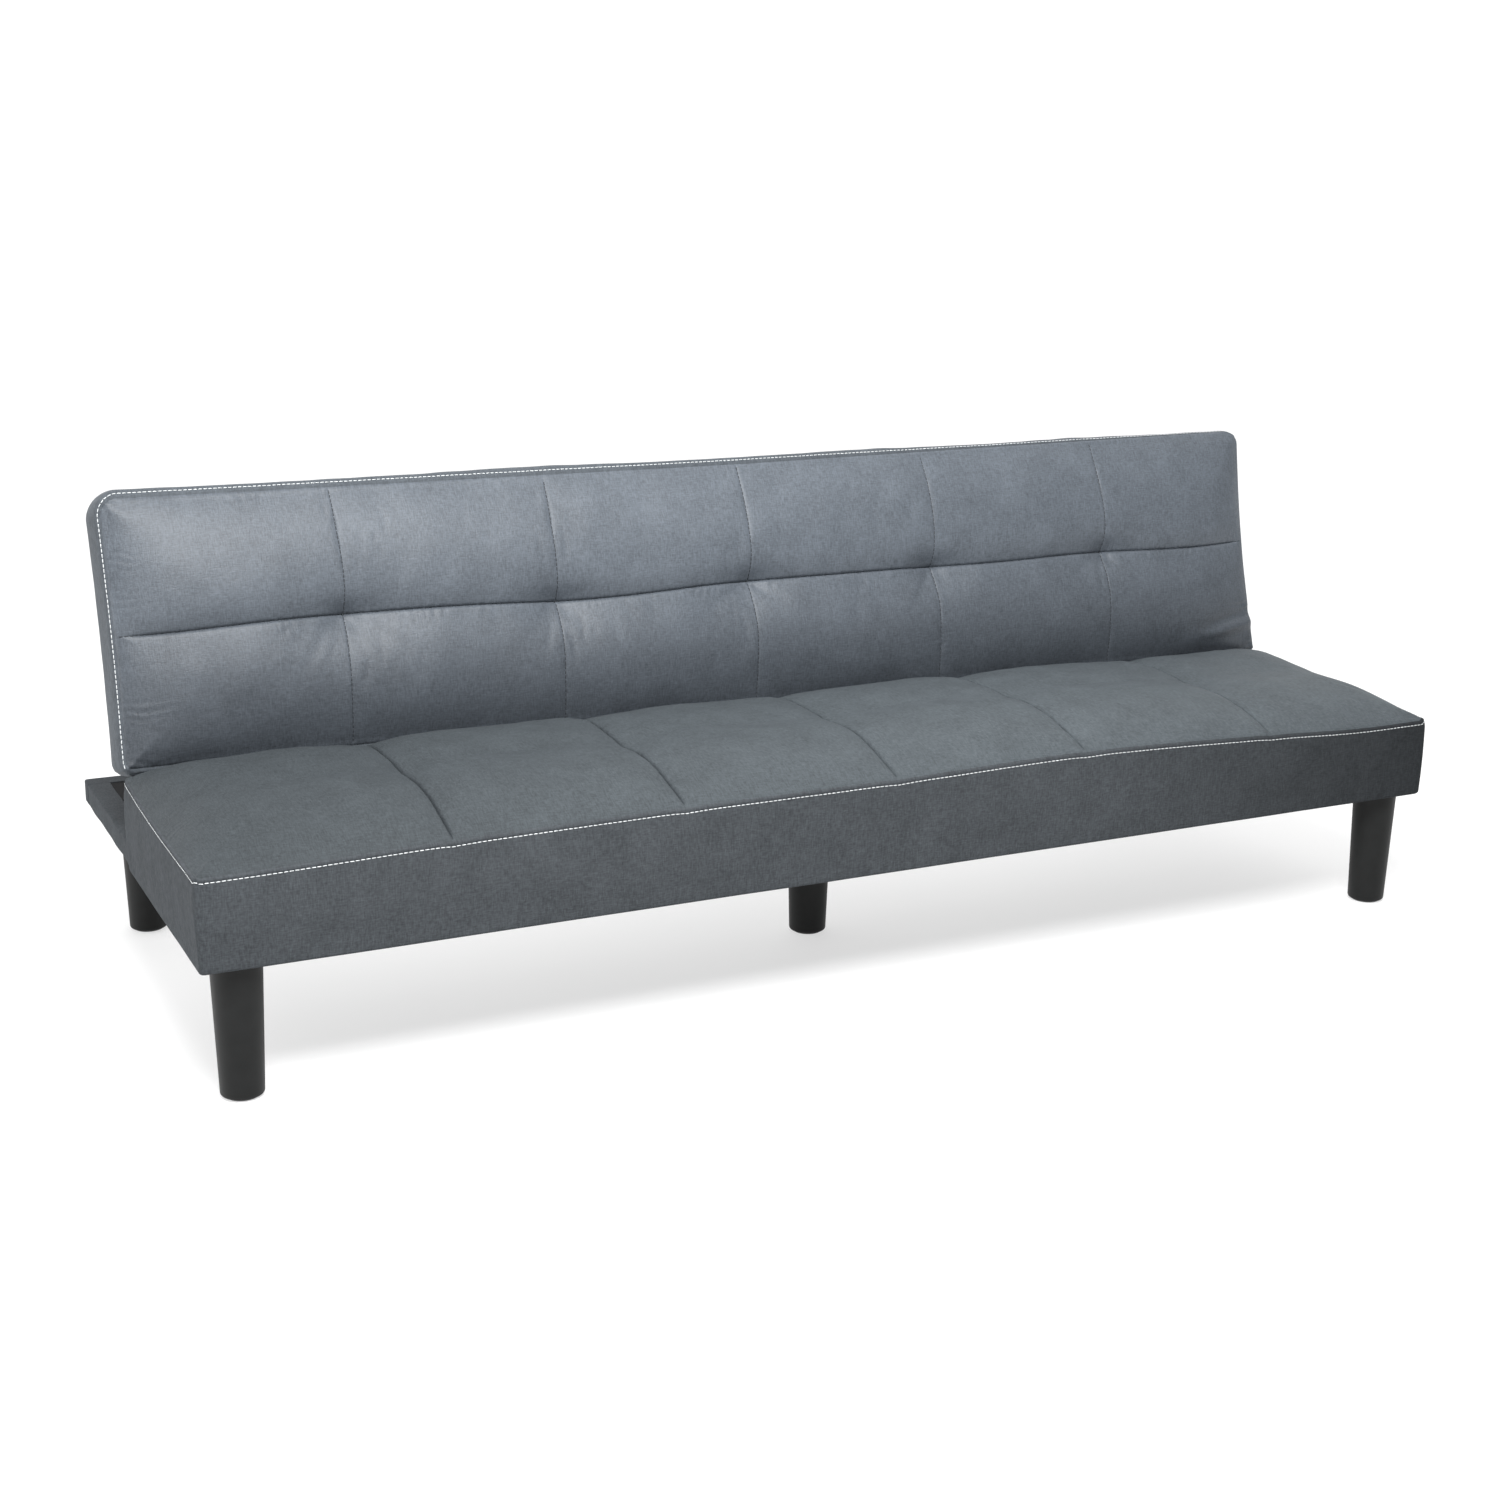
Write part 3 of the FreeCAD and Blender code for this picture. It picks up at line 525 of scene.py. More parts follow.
class Cushion:
    """A quilted cushion's points and faces, made from its sizes."""

    # (rise above the base, distance in from the edge seam) of the boxing's hem, ring by ring
    turned_under = ((0.0, 0.014), (0.0005, 0.026), (0.004, 0.027))

    def __init__(self, quilt):
        self.quilt = quilt
        lines_x = graded([-quilt.half, *quilt.cross, quilt.half], FINEST, PITCH)
        lines_y = graded([0.0, quilt.middle, quilt.depth], FINEST, PITCH)
        x, y = np.meshgrid(lines_x, lines_y, indexing="ij")
        x, y = follow_seams(x, y, quilt)
        x, y = round_corners(x, y, quilt)
        heights = panel(x, y, quilt)
        flat_rim = np.stack([x, y], axis=-1).reshape(-1, 2)
        self.drape = drape(quilt)
        moved = self.moved(x, y)
        x, y = settle(x, y, 0.0, quilt)
        top = np.stack([x, y, heights], axis=-1) + moved
        columns, rows = x.shape
        self.points = [top.reshape(-1, 3)]
        self.count = columns * rows
        number = np.arange(self.count).reshape(columns, rows)
        near, right = number[:, 0], number[-1, 1:]
        far, left = number[-2::-1, -1], number[0, -2:0:-1]
        self.rim = np.concatenate([near, right, far, left])
        self.rim_points = flat_rim[self.rim]
        run = np.roll(self.rim_points, -1, axis=0) - np.roll(self.rim_points, 1, axis=0)
        out = np.stack([run[:, 1], -run[:, 0]], axis=-1)
        self.out = out / np.linalg.norm(out, axis=1, keepdims=True)
        self.seam_z = top.reshape(-1, 3)[self.rim, 2]
        self.faces = np.stack(
            [number[:-1, :-1], number[1:, :-1], number[1:, 1:], number[:-1, 1:]], axis=-1
        ).reshape(-1, 4).tolist()
        self.panel_faces = len(self.faces)
        self.near_count, self.right_count = len(near), len(right)
        self.wall()

    def moved(self, x, y):
        """How far the simulation moves the panel's points."""
        return np.zeros((*np.shape(x), 3)) if self.drape is None else sampled(self.drape, x, y)

    def on_wall(self, below, outward):
        """The ring of points at a distance below the edge seam."""
        quilt = self.quilt
        share = below / quilt.drop
        x, y = self.rim_points[:, 0], self.rim_points[:, 1]
        along = np.concatenate([[0], np.cumsum(np.linalg.norm(np.diff(self.rim_points, axis=0), axis=1))])
        swell = waves(quilt.seed + 5, 0.30)(along, np.full_like(along, below))
        ripple = waves(quilt.seed + 6, 0.06)(along, np.full_like(along, below * 0.4))
        lively = math.sin(math.pi * min(max(share, 0), 1))
        push = outward + lively * (quilt.bulge + 0.0012 * swell) + 0.0002 * ripple * min(1, lively + 0.3)
        push = push - self.pocket(below)
        hem = 0.00012 * share ** 2 * (waves(quilt.seed + 7, 0.22)(along, 0 * along) - 1.5)
        end = np.clip(x / quilt.half, -1, 1)
        facing_right = np.clip(self.out[:, 0], 0, 1) + np.clip(self.out[:, 1], 0, 1)
        facing_left = np.clip(-self.out[:, 0], 0, 1)
        left, right = quilt.slip
        share_slipped = np.where(end > 0, right * np.clip(facing_right, 0, 1), left * facing_left)
        slip = quilt.roll * np.abs(end) * share_slipped
        push = push - slip * min(max(outward, 0) / quilt.roll, 1)
        x, y = settle(x, y, below, quilt)
        x, y = x + self.out[:, 0] * push, y + self.out[:, 1] * push
        return np.stack([x, y, self.seam_z * (1 - share) - below + hem], axis=-1)

    def pocket(self, below):
        """How far the boxing is let in, which is only where a hinge needs room."""
        return np.zeros(len(self.rim_points))

    def wall(self):
        """Adds the boxing, the hem turned under it and the closed base."""
        ring = self.rim
        profile = wall_profile(self.quilt)[1:]
        drop = self.quilt.drop
        hem = [(drop - rise, -inward) for rise, inward in self.turned_under]
        for below, outward in profile + hem:
            self.points.append(self.on_wall(below, outward))
            below_ring = np.arange(len(ring)) + self.count
            self.count += len(ring)
            after, below_after = np.roll(ring, -1), np.roll(below_ring, -1)
            self.faces += np.stack([ring, below_ring, below_after, after], axis=-1).tolist()
            ring = below_ring
        self.close(ring)

    def close(self, ring):
        """Closes the base with strips from the near edge to the far edge."""
        near = ring[: self.near_count]
        far = ring[self.near_count + self.right_count - 1 :][: self.near_count]
        far = far[::-1]
        for k in range(self.near_count - 1):
            self.faces.append([near[k + 1], near[k], far[k], far[k + 1]])
        right = ring[self.near_count - 1 : self.near_count + self.right_count]
        left = np.append(ring[self.near_count * 2 + self.right_count - 2 :], ring[0])
        self.faces.append(right.tolist()[::-1])
        self.faces.append(left.tolist()[::-1])

    def mesh(self, name, place, fabrics):
        """The cushion as an object. place takes it from lying flat at the origin to its place."""
        thing = link(name, np.concatenate(self.points), self.faces, fabrics, place)
        sides = np.arange(len(thing.data.polygons)) >= self.panel_faces
        thing.data.polygons.foreach_set("material_index", sides.astype(np.int32))
        return thing


# ---------------------------------------------------------------- thread


def resampled(line, step):
    """Points along a line at even steps."""
    along = np.concatenate([[0], np.cumsum(np.linalg.norm(np.diff(line, axis=0), axis=1))])
    at = np.arange(step / 2, along[-1], step)
    return np.stack([np.interp(at, along, line[:, k]) for k in range(3)], axis=-1)


def stitches(name, lines, place, radius, material):
    """A row of separate stitches of thread along each line, as one object."""
    sides = 6
    rings = ((-0.5, 0.3), (-0.42, 0.9), (0.0, 1.1), (0.42, 0.9), (0.5, 0.3))
    around = [(math.cos(2 * math.pi * k / sides), math.sin(2 * math.pi * k / sides)) for k in range(sides)]
    points, faces = [], []
    for line in lines:
        middles = resampled(line, STITCH_PITCH)
        ahead = np.gradient(middles, axis=0)
        ahead /= np.linalg.norm(ahead, axis=1, keepdims=True)
        for middle, along in zip(middles, ahead):
            side = np.cross(along, (0.0, 0.0, 1.0))
            side /= np.linalg.norm(side)
            up = np.cross(side, along)
            start = len(points)
            for where, size in rings:
                centre = middle + along * STITCH_LENGTH * where
                points += [centre + (side * c + up * s) * radius * size for c, s in around]
            for ring in range(len(rings) - 1):
                low = start + ring * sides
                for k in range(sides):
                    after = (k + 1) % sides
                    faces.append([low + k, low + after, low + sides + after, low + sides + k])
            last = start + (len(rings) - 1) * sides
            faces.append([start + k for k in range(sides)][::-1])
            faces.append([last + k for k in range(sides)])
    return link(name, np.array(points), faces, (material,), place)


# ---------------------------------------------------------------- wraps and dust cloths


def wrapped_rail(name, node, radius, corner, seed):
    """Fabric pulled tight round a rail: rounded edges and uprights, and slightly uneven faces."""
    low, high = (np.array(bound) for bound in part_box(node))
    lines = []
    for a, b in zip(low, high):
        edge = radius * (1 - np.cos(np.linspace(0, math.pi / 2, 5)))
        middle = np.linspace(a + radius, b - radius, max(2, round((b - a - 2 * radius) / WRAP_PITCH) + 1))
        lines.append(np.concatenate([a + edge[:-1], middle, b - edge[-2::-1]]))
    sizes = [len(line) for line in lines]
    number, points, faces = {}, [], []

    def point(*place):
        if place not in number:
            number[place] = len(points)
            points.append([lines[axis][place[axis]] for axis in range(3)])
        return number[place]

    for axis in range(3):
        one, other = (axis + 1) % 3, (axis + 2) % 3
        for end in (0, sizes[axis] - 1):
            for i in range(sizes[one] - 1):
                for j in range(sizes[other] - 1):
                    face = []
                    for step_i, step_j in ((0, 0), (1, 0), (1, 1), (0, 1)):
                        place = [0, 0, 0]
                        place[axis], place[one], place[other] = end, i + step_i, j + step_j
                        face.append(point(*place))
                    faces.append(face if end else face[::-1])
    points = np.array(points)
    inner = np.clip(points, low + radius, high - radius)
    out = points - inner
    out /= np.linalg.norm(out, axis=1, keepdims=True)
    length = points[:, 0] + points[:, 1]
    uneven = 0.0004 + 0.0003 * waves(seed, 0.09)(length, points[:, 2])
    pulls = 0.0003 * gathers(0.004 + 0 * length, length + points[:, 2], 0.030, 0.016, seed + 1)
    points = inner + out * (radius + np.maximum(uneven + pulls, 0))[:, None]
    points[:, 2] = np.minimum(points[:, 2], high[2])
    if corner:
        centre = np.clip(points[:, :2], low[:2] + corner, high[:2] - corner)
        off = points[:, :2] - centre
        off *= (np.abs(off).max(axis=1) / np.maximum(np.hypot(*off.T), 1e-9))[:, None]
        points[:, :2] = centre + off
    piece = link(name, points, faces, (BOXING_FABRIC,))
    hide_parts(node)
    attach(piece, "base")


def dust_cloth(name, node, body, x, y, z, corner, sag, material, place=None):
    """A thin cloth stapled round its edge. z is its outer face, and sag(x, y) how far it hangs out."""
    lines_x = np.linspace(*x, round((x[1] - x[0]) / CLOTH_GRID) + 1)
    lines_y = np.linspace(*y, round((y[1] - y[0]) / CLOTH_GRID) + 1)
    across, deep = np.meshgrid(lines_x, lines_y, indexing="ij")
    edge = np.minimum(np.minimum(across - x[0], x[1] - across), np.minimum(deep - y[0], y[1] - deep))
    cut = np.clip(corner - np.minimum(across - x[0], x[1] - across), 0, corner)
    bend = corner - np.sqrt(np.maximum(corner ** 2 - cut ** 2, 0)) if corner else 0 * cut
    share = (deep - y[0]) / (y[1] - y[0])
    deep = deep - bend * share
    staple = np.sin(math.pi * across / STAPLE_PITCH) * np.sin(math.pi * deep / STAPLE_PITCH)
    hem = 0.0006 * np.exp(-((edge - 0.012) / 0.006) ** 2) - 0.0004 * np.abs(staple) * np.exp(-edge / 0.02)
    drawn = 0.0004 * waves(4, 0.11)(across, deep) * slope(edge, 0.06, 1.5)
    face = z - sag(across, deep, edge) - hem - drawn
    outer = np.stack([across, deep, face], axis=-1).reshape(-1, 3)
    inner = outer + (0, 0, CLOTH_THICKNESS)
    number = np.arange(len(outer)).reshape(across.shape)
    corners = [number[:-1, :-1], number[:-1, 1:], number[1:, 1:], number[1:, :-1]]
    quads = np.stack(corners, axis=-1).reshape(-1, 4)
    faces = quads.tolist() + (quads[:, ::-1] + len(outer)).tolist()
    rim = np.concatenate([number[:, 0], number[-1, 1:], number[-2::-1, -1], number[0, -2:0:-1]])
    after = np.roll(rim, -1)
    faces += np.stack([rim, rim + len(outer), after + len(outer), after], axis=-1)[:, ::-1].tolist()
    piece = link(name, np.concatenate([outer, inner]), faces, (material,), place)
    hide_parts(node)
    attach(piece, body)


def base_sag(x, y, edge):
    """The dust cover hangs a little between the front rail, the rear rail, the ends and the middle."""
    from_middle = slope(np.maximum(np.abs(x - CENTRE_RAIL) - 0.045, 0), 0.30, 2.0)
    from_ends = slope(np.maximum(HALF_LENGTH - np.abs(x) - 0.130, 0), 0.25, 2.0)
    return 0.007 * from_middle * from_ends * slope(np.maximum(edge - 0.045, 0), 0.11, 2.0)


def rear_hollow(x, y, edge):
    """The rear panel is drawn in a little between the boards of the backrest's frame."""
    between = slope(np.maximum(np.abs(np.abs(x) - MID_STILES) - 0.012, 0), 0.16, 2.0)
    return -0.0018 * between * slope(np.maximum(edge - 0.020, 0), 0.09, 2.0)


# ---------------------------------------------------------------- materials


def new_material(name):
    material = bpy.data.materials.new(name)
    material.use_nodes = True
    return material, material.node_tree.nodes, material.node_tree.links


def new_node(nodes, kind, **inputs):
    """A new shader node with some of its inputs set, each by its name with _ for a space."""
    node = nodes.new("ShaderNode" + kind)
    for name, value in inputs.items():
        node.inputs[name.replace("_", " ")].default_value = value
    return node


def fabric(name, colour, roughness, specular, sheen, painted_shades=()):
    """Brushed microfibre: fine threads both ways, a soft sheen, and faint brushed patches.

    Each painted shade (axis, start, end, share) darkens the colour towards one end: shade painted into the
    colour, taking it from share of itself at start to all of itself at end. It was fitted to how bright each
    end should look, and stays with the fabric in any light.
    """
    material, nodes, links = new_material(name)
    shader = nodes["Principled BSDF"]
    place = nodes.new("ShaderNodeTexCoord")
    layers = (
        ((0.22, 1.0, 1.0), 620, 3, 0.55),      # threads along the cushion
        ((1.0, 0.20, 0.20), 620, 3, 0.55),     # threads across it
        ((1.0, 1.0, 1.0), 20, 5, 0.62),        # brushed patches
    )
    fields = []
    for scale, size, detail, rough in layers:
        stretch = new_node(nodes, "Mapping", Scale=scale)
        links.new(place.outputs["Object"], stretch.inputs["Vector"])
        texture = new_node(nodes, "TexNoise", Scale=size, Detail=detail, Roughness=rough)
        links.new(stretch.outputs["Vector"], texture.inputs["Vector"])
        fields.append(texture.outputs["Fac"])
    weave = nodes.new("ShaderNodeMath")
    weave.operation = "MULTIPLY_ADD"
    weave.inputs[1].default_value = 0.9
    links.new(fields[0], weave.inputs[0])
    links.new(fields[1], weave.inputs[2])
    blend = nodes.new("ShaderNodeMath")
    blend.operation = "MULTIPLY_ADD"
    blend.inputs[1].default_value = 0.55
    links.new(fields[2], blend.inputs[0])
    links.new(weave.outputs["Value"], blend.inputs[2])
    ramp = new_node(nodes, "MapRange", From_Min=0.80, From_Max=1.65)
    links.new(blend.outputs["Value"], ramp.inputs["Value"])
    shades = nodes.new("ShaderNodeMix")
    shades.data_type = "RGBA"
    shades.inputs["A"].default_value = (*[c * (1 - MOTTLE) for c in colour], 1)
    shades.inputs["B"].default_value = (*[c * (1 + MOTTLE) for c in colour], 1)
    links.new(ramp.outputs["Result"], shades.inputs["Factor"])
    shade = shades.outputs["Result"]
    axes = nodes.new("ShaderNodeSeparateXYZ")
    links.new(place.outputs["Object"], axes.inputs["Vector"])
    # Painted shade: each ramp scales the colour down towards one end of the part.
    for axis, start, end, share in painted_shades:
        painted_shade = new_node(nodes, "MapRange", From_Min=start, From_Max=end, To_Min=share)
        links.new(axes.outputs[axis], painted_shade.inputs["Value"])
        scaled = nodes.new("ShaderNodeVectorMath")
        scaled.operation = "SCALE"
        links.new(shade, scaled.inputs["Vector"])
        links.new(painted_shade.outputs["Result"], scaled.inputs["Scale"])
        shade = scaled.outputs["Vector"]
    links.new(shade, shader.inputs["Base Color"])
    bump = new_node(nodes, "Bump", Strength=0.5, Distance=0.0007)
    links.new(weave.outputs["Value"], bump.inputs["Height"])
    links.new(bump.outputs["Normal"], shader.inputs["Normal"])
    shader.inputs["Roughness"].default_value = roughness
    shader.inputs["Specular IOR Level"].default_value = specular
    shader.inputs["Sheen Weight"].default_value = sheen
    shader.inputs["Sheen Roughness"].default_value = 0.35
    shader.inputs["Sheen Tint"].default_value = (0.80, 0.90, 1.0, 1)
    return material


def plain(name, colour, rough, metal=0.0, grain=200, variation=0.25, bumps=0.1, specular=0.5):
    """A finish with a fine random grain in its colour, roughness and surface."""
    material, nodes, links = new_material(name)
    shader = nodes["Principled BSDF"]
    place = nodes.new("ShaderNodeTexCoord")
    noise = new_node(nodes, "TexNoise", Scale=grain, Detail=5)
    links.new(place.outputs["Object"], noise.inputs["Vector"])
    ramp = nodes.new("ShaderNodeValToRGB")
    ramp.color_ramp.elements[0].color = (*[c * (1 - variation) for c in colour], 1)
    ramp.color_ramp.elements[1].color = (*[min(1, c * (1 + variation)) for c in colour], 1)
    ramp.color_ramp.elements[0].position = 0.3
    ramp.color_ramp.elements[1].position = 0.7
    links.new(noise.outputs["Fac"], ramp.inputs["Fac"])
    links.new(ramp.outputs["Color"], shader.inputs["Base Color"])
    spread = new_node(nodes, "MapRange", To_Min=max(0.0, rough - 0.08), To_Max=min(1.0, rough + 0.08))
    links.new(noise.outputs["Fac"], spread.inputs["Value"])
    links.new(spread.outputs["Result"], shader.inputs["Roughness"])
    bump = new_node(nodes, "Bump", Strength=bumps, Distance=0.0005)
    links.new(noise.outputs["Fac"], bump.inputs["Height"])
    links.new(bump.outputs["Normal"], shader.inputs["Normal"])
    shader.inputs["Metallic"].default_value = metal
    shader.inputs["Specular IOR Level"].default_value = specular
    return material


# One microfibre in four copies. Their colours differ partly by the nap of each panel and partly as painted
# light:
# the back's copy is painted lighter and the boxings' copies darker than the seat's. Their drifts are painted
# shade:
# the seat darker towards its left end, the back towards its left end and its bottom, the boxing towards its
# right end.
SEAT_FABRIC = fabric("seat_microfibre", (0.060, 0.070, 0.077), 0.70, 0.16, 0.04,
                     (("X", -0.90, 0.25, 0.55),))
BACK_FABRIC = fabric("back_microfibre", (0.086, 0.099, 0.116), 0.50, 0.34, 0.08,
                     (("X", -0.90, -0.05, 0.82), ("Z", 0.30, 0.50, 0.58)))
BOXING_FABRIC = fabric("boxing_microfibre", (0.047, 0.052, 0.057), 0.85, 0.08, 0.02,
                       (("X", 0.92, 0.35, 0.45),))
BACK_BOXING_FABRIC = fabric("back_boxing_microfibre", (0.062, 0.071, 0.081), 0.70, 0.20, 0.03)
MATERIALS = {
    "cover_fabric": BOXING_FABRIC,
    "foam": plain("foam", (0.78, 0.72, 0.52), 0.9, grain=600),
    "felt": plain("needled_felt", (0.42, 0.40, 0.38), 0.95, grain=300, variation=0.5, bumps=0.6),
    "webbing": plain("jute_webbing", (0.50, 0.40, 0.25), 0.9, grain=500, bumps=0.5),
    "dust_cloth": plain("dust_cloth", (0.018, 0.018, 0.020), 0.85, grain=700, variation=0.5, bumps=0.4),
    "leg_black": plain("leg_black", (0.0075, 0.0080, 0.0080), 0.5, grain=60, variation=0.2, bumps=0.05,
                       specular=0.22),
    "glide_plastic": plain("glide_plastic", (0.03, 0.03, 0.03), 0.5),
    "frame_timber": plain("frame_timber", (0.55, 0.38, 0.22), 0.6, grain=30),
    "hinge_steel": plain("hinge_steel", (0.02, 0.02, 0.022), 0.45, grain=400),
    "fixing_zinc": plain("fixing_zinc", (0.55, 0.55, 0.56), 0.35, metal=1.0, grain=300),
}
WHITE_THREAD = plain("white_thread", (0.55, 0.57, 0.58), 0.6, grain=900, variation=0.15, bumps=0.3)
# Thread darker than the fabric: partly its own grey, partly painted shade of the quilting seams' creases.
SEAM_THREAD_AND_SHADE = plain("seam_thread_and_painted_shade", (0.022, 0.026, 0.031), 0.7, grain=900, variation=0.2, bumps=0.3)
# Timber coloured near black as painted shade, for the shadowed gaps where the corner blocks and base rails
# show.
PAINTED_SHADE_TIMBER = plain("timber_black_as_painted_shade", (0.010, 0.010, 0.011), 0.85, grain=40, variation=0.3,
                    specular=0.1)


def dress_frame():
    """Gives every CAD node its material, by the slot that the record names, and colours the corner blocks and
    base rails black as painted shade.
    """
    for node in frame["nodes"].values():
        for place in range(len(node.data.materials)):
            slot = node.data.materials[place].name.split(".")[0]
            node.material_slots[place].link = "OBJECT"
            node.material_slots[place].material = MATERIALS[slot]
    # Painted shade: these parts show in shadowed gaps, so their timber is coloured black.
    for name in ("front_corner_blocks", "rear_corner_blocks", "base_rear_rail", "base_side_rail_left",
                 "base_side_rail_right"):
        frame["nodes"][name].material_slots[0].material = PAINTED_SHADE_TIMBER


# ---------------------------------------------------------------- the object


class SeatCushion(Cushion):
    """The seat, whose rear boxing is let in round the two hinges."""

    def pocket(self, below):
        """Room for a hinge hub, in the rear boxing near each end."""
        x, y = self.rim_points[:, 0], self.rim_points[:, 1]
        at_hinge = (np.abs(x) > HUB_FROM) & (np.abs(x) < HUB_TO) & (y > self.quilt.depth - 0.002)
        tall = 0.0005 < below < EDGE_SEAM_Z - HUB_FOOT
        return np.where(at_hinge & tall, HUB_ROOM, 0.0)


class BackCushion(Cushion):
    """The backrest, whose front boxing keeps clear of the two fixed hinge plates when opened."""

    turned_under = ((0.0, 0.008), (0.0022, 0.0115), (0.0065, 0.027))

    def pocket(self, below):
        """Room beside a hinge plate, in the near boxing close to each end."""
        x, y = self.rim_points[:, 0], self.rim_points[:, 1]
        beside = np.exp(-(((np.abs(x) - PLATE_PLACE) / PLATE_REACH) ** 4))
        share = min(max(below / self.quilt.drop, 0), 1)
        return np.where(y < 0.002, PLATE_ROOM * beside * math.sin(math.pi * share), 0.0)


def top_stitch(cushion, name, place, parts):
    """White thread round the boxing just below its edge seam. parts are the sides that show it."""
    below, outward = over_roll(STITCH_DROP, cushion.quilt)
    ring = cushion.on_wall(below, outward + THREAD * 0.3)
    near, right = cushion.near_count, cushion.near_count + cushion.right_count
    far = right + cushion.near_count - 1
    sides = {"near": ring[:near], "right": ring[near:right], "far": ring[right:far], "left": ring[far:]}
    line = np.concatenate([sides[part] for part in parts])
    return stitches(name, [line], place, THREAD, WHITE_THREAD)


def quilt_stitch(cushion, name, place):
    """Dark thread along the quilting seams of the top panel: partly its own grey, partly painted shade of the
    seams' creases.
    """
    quilt = cushion.quilt
    inset = 0.004
    lines = []
    y = np.arange(inset, quilt.depth - inset, PITCH)
    x = np.arange(inset - quilt.half, quilt.half - inset, PITCH)
    seams = [(cross_seam(k, y, quilt), y) for k in range(len(quilt.cross))]
    if quilt.long_groove[-1] > 0:
        seams.append((x, long_seam(x, quilt)))
    for seam_x, seam_y in seams:
        height = panel(seam_x, seam_y, quilt) + THREAD * 0.3
        flat = np.stack([*settle(seam_x, seam_y, 0.0, quilt), height], axis=-1)
        lines.append(flat + cushion.moved(seam_x, seam_y))
    return stitches(name, lines, place, THREAD * 1.1, SEAM_THREAD_AND_SHADE)


def upholster(name, cushion, place, fabrics, body, hidden, parts):
    """A cushion with its white and grey stitching (the grey partly painted seam shade), riding on a body in
    place of its CAD nodes.
    """
    pad = cushion.mesh(name + "_cushion", place, fabrics)
    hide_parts(*hidden)
    white = top_stitch(cushion, name + "_top_stitch", place, parts)
    grey = quilt_stitch(cushion, name + "_quilt_stitch", place)
    for piece in (pad, white, grey):
        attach(piece, body)


# ---------------------------------------------------------------- the studio


def camera():
    """The main view: from the front left, a little above the sofa."""
    ahead = Vector((
        math.sin(CAMERA_YAW) * math.cos(CAMERA_PITCH),
        math.cos(CAMERA_YAW) * math.cos(CAMERA_PITCH),
        -math.sin(CAMERA_PITCH),
    ))
    level = Vector((math.cos(CAMERA_YAW), -math.sin(CAMERA_YAW), 0))
    upright = level.cross(ahead)
    right = level * math.cos(CAMERA_ROLL) + upright * math.sin(CAMERA_ROLL)
    up = upright * math.cos(CAMERA_ROLL) - level * math.sin(CAMERA_ROLL)
    turned = Matrix((right, up, -ahead)).transposed().to_4x4()
    data = bpy.data.cameras.new("camera")
    data.lens = CAMERA_LENS
    data.sensor_width = 36.0
    thing = add("camera", data)
    thing.matrix_world = Matrix.Translation(CAMERA_PLACE) @ turned
    bpy.context.scene.camera = thing


def soft_light(name, place, target, size, power, spread):
    """A large soft lamp at place, facing target, whose beam is spread degrees wide."""
    data = bpy.data.lights.new(name, "AREA")
    data.shape = "RECTANGLE"
    data.size, data.size_y = size
    data.energy = power
    data.spread = math.radians(spread)
    thing = add(name, data)
    thing.location = place
    thing.rotation_euler = (Vector(target) - Vector(place)).to_track_quat("-Z", "Y").to_euler()


def surroundings():
    """A white studio behind and above the sofa, and a dim one in front of it."""
    world = bpy.data.worlds.new("studio")
    world.use_nodes = True
    nodes, links = world.node_tree.nodes, world.node_tree.links
    place = nodes.new("ShaderNodeTexCoord")
    toward = nodes.new("ShaderNodeVectorMath")
    toward.operation = "DOT_PRODUCT"
    toward.inputs[1].default_value = (0.0, 1.0, 0.9)
    links.new(place.outputs["Generated"], toward.inputs[0])
    glow = new_node(nodes, "MapRange", From_Min=0.0, From_Max=0.9, To_Min=0.12, To_Max=1.60)
    links.new(toward.outputs["Value"], glow.inputs["Value"])
    links.new(glow.outputs["Result"], nodes["Background"].inputs["Strength"])
    nodes["Background"].inputs["Color"].default_value = (1.0, 1.0, 1.0, 1)
    bpy.context.scene.world = world


def backdrop():
    """Plain white walls far away. The camera sees them, and they neither light nor shade the sofa."""
    far, high = 28.0, 25.0
    corners = [(x, y, z) for x in (-far, far) for y in (-far, far) for z in (-1.0, high)]
    sides = [(0, 1, 3, 2), (4, 6, 7, 5), (0, 4, 5, 1), (2, 3, 7, 6), (1, 5, 7, 3)]
    mesh = bpy.data.meshes.new("backdrop")
    mesh.from_pydata(corners, [], sides)
    white = plain("backdrop_white", (0.8, 0.8, 0.8), 1.0, grain=1, variation=0.0, bumps=0.0)
    glow = white.node_tree.nodes["Principled BSDF"]
    glow.inputs["Emission Color"].default_value = (1.0, 1.0, 1.0, 1)
    glow.inputs["Emission Strength"].default_value = 1.0
    mesh.materials.append(white)
    walls = add("backdrop", mesh)
    walls.visible_diffuse = walls.visible_glossy = walls.visible_shadow = False


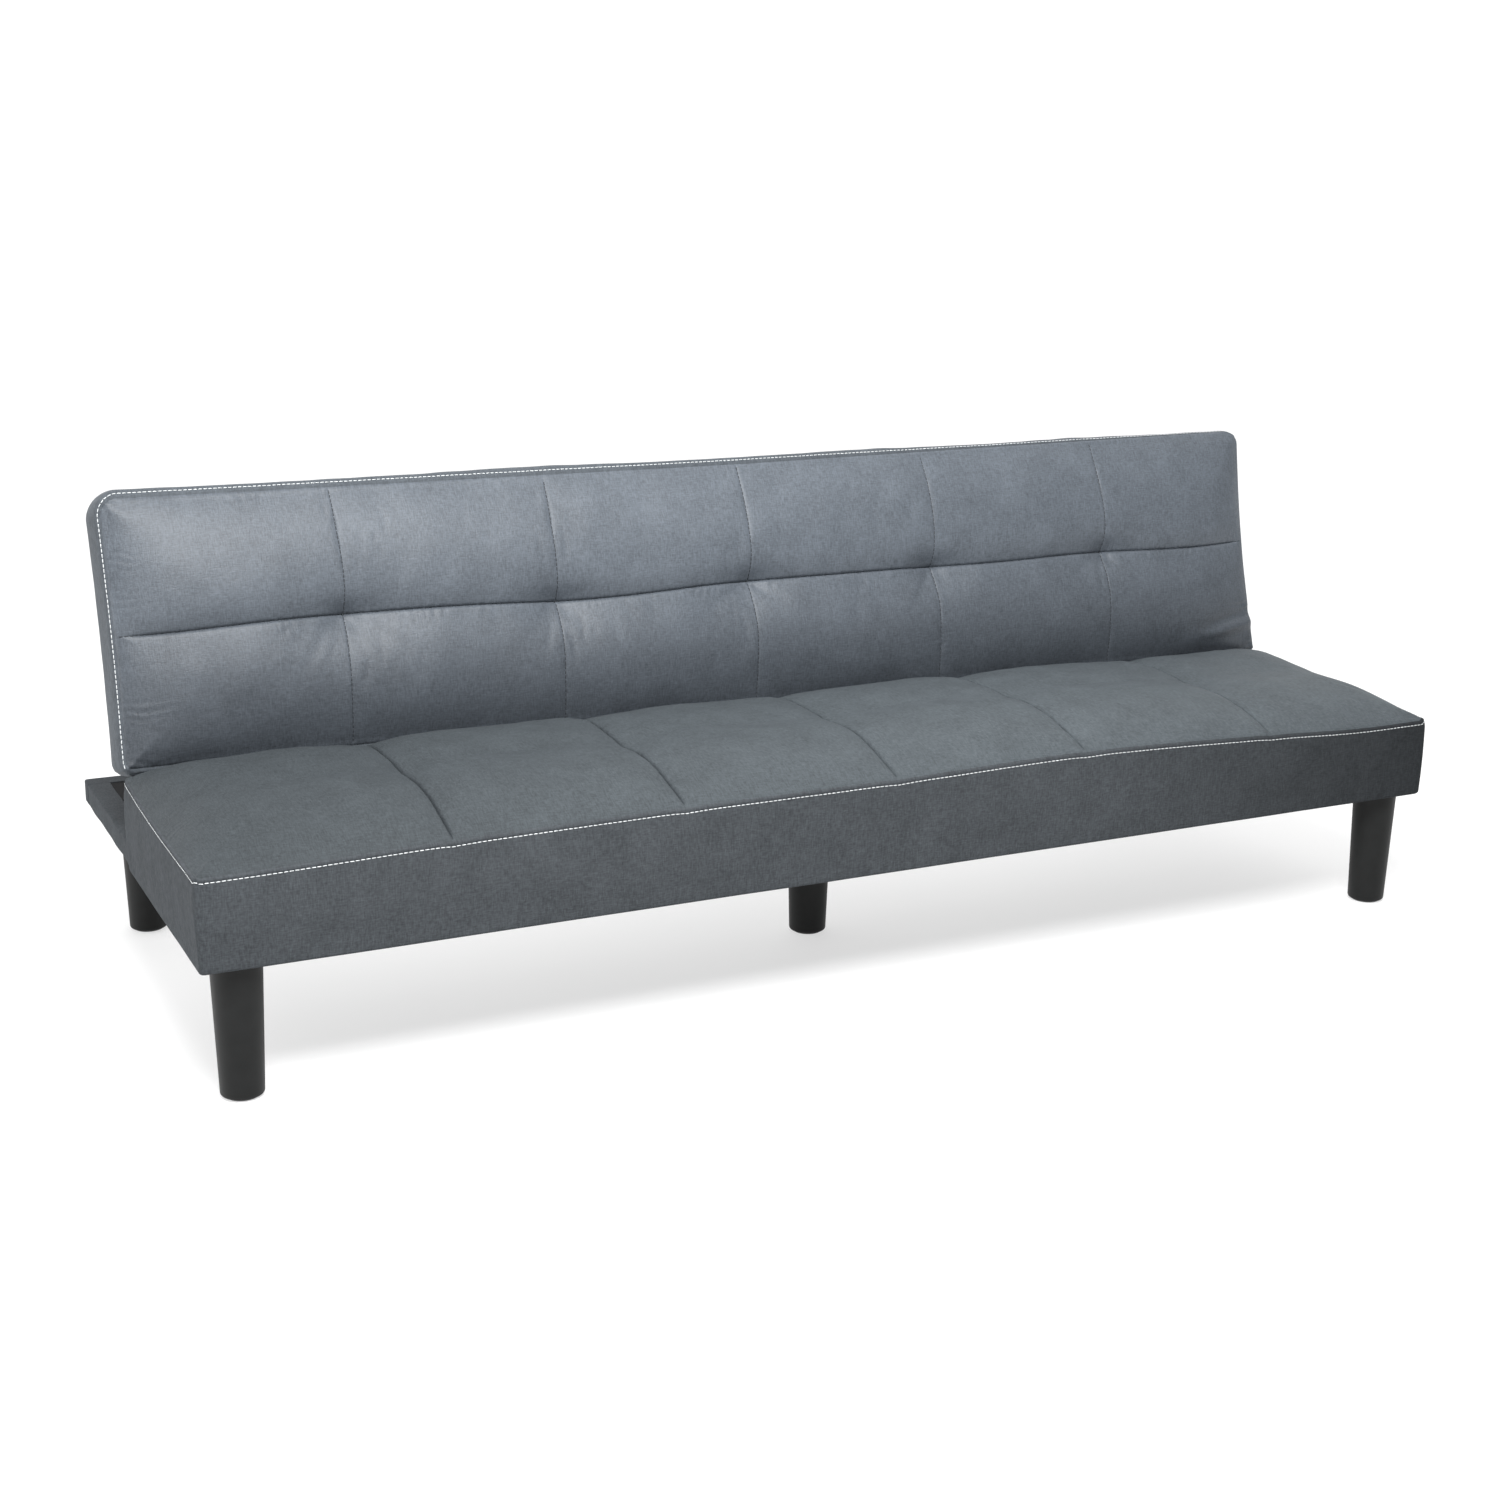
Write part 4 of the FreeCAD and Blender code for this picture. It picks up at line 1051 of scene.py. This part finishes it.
def studio():
    """Pale glowing floor, white surroundings, a big soft key from the front left and a weak left fill."""
    mesh = bpy.data.meshes.new("floor")
    reach = 30.0
    corners = [(-reach, -reach, 0), (reach, -reach, 0), (reach, reach, 0), (-reach, reach, 0)]
    mesh.from_pydata(corners, [], [(0, 1, 2, 3)])
    pale = plain("floor_pale", (0.36, 0.36, 0.36), 0.8, grain=3, variation=0.01, bumps=0.0)
    glow = pale.node_tree.nodes["Principled BSDF"]
    glow.inputs["Emission Color"].default_value = (1.0, 1.0, 1.0, 1)
    glow.inputs["Emission Strength"].default_value = 0.62
    mesh.materials.append(pale)
    add("floor", mesh)
    backdrop()
    surroundings()
    soft_light("key", (-0.75, -1.7, 2.3), (-0.35, 0.1, 0.45), (1.3, 0.9), 135, 180)
    soft_light("left_fill", (-3.0, 0.2, 0.5), (-0.9, 0.1, 0.3), (1.2, 0.8), 16, 180)
    bpy.context.scene.view_settings.view_transform = "Standard"


dress_frame()
SEAT_PLACE = Matrix.Translation((0, SEAT_LOW.y + SEAT_ROLL, EDGE_SEAM_Z))
BACK_PLACE = TURN_UP @ Matrix.Translation((0, BACK_START + BACK_ROLL, EDGE_SEAM_Z))
upholster("seat", SeatCushion(SEAT), SEAT_PLACE, (SEAT_FABRIC, BOXING_FABRIC), "base",
          ("seat_cover", "seat_foam"), ("left", "near", "right"))
upholster("back", BackCushion(BACK), BACK_PLACE, (BACK_FABRIC, BACK_BOXING_FABRIC), "backrest",
          ("back_cover", "back_foam"), ("right", "far", "left"))
for node, corner, seed in (("wrap_side_left", 0, 60), ("wrap_side_right", 0, 64),
                           ("wrap_centre", 0, 68), ("wrap_rear", 0.004, 72)):
    wrapped_rail(node + "_fabric", node, WRAP_EDGE, corner, seed)
DUST_LOW, DUST_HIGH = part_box("dust_cover")
dust_cloth("base_dust_cloth", "dust_cover", "base", (DUST_LOW.x, DUST_HIGH.x), (DUST_LOW.y, DUST_HIGH.y),
           DUST_LOW.z, 0.0, base_sag, MATERIALS["dust_cloth"])
BACK_INNER = HALF_LENGTH - HEM_INSET
dust_cloth("back_rear_cloth", "back_rear_panel", "backrest", (-BACK_INNER, BACK_INNER),
           (BACK_START + HEM_INSET, BACK_START + BACK_REACH - HEM_INSET), EDGE_SEAM_Z - BACK.drop + 0.0004,
           BACK.corners[2] - 0.004, rear_hollow, BOXING_FABRIC, TURN_UP)
camera()
studio()
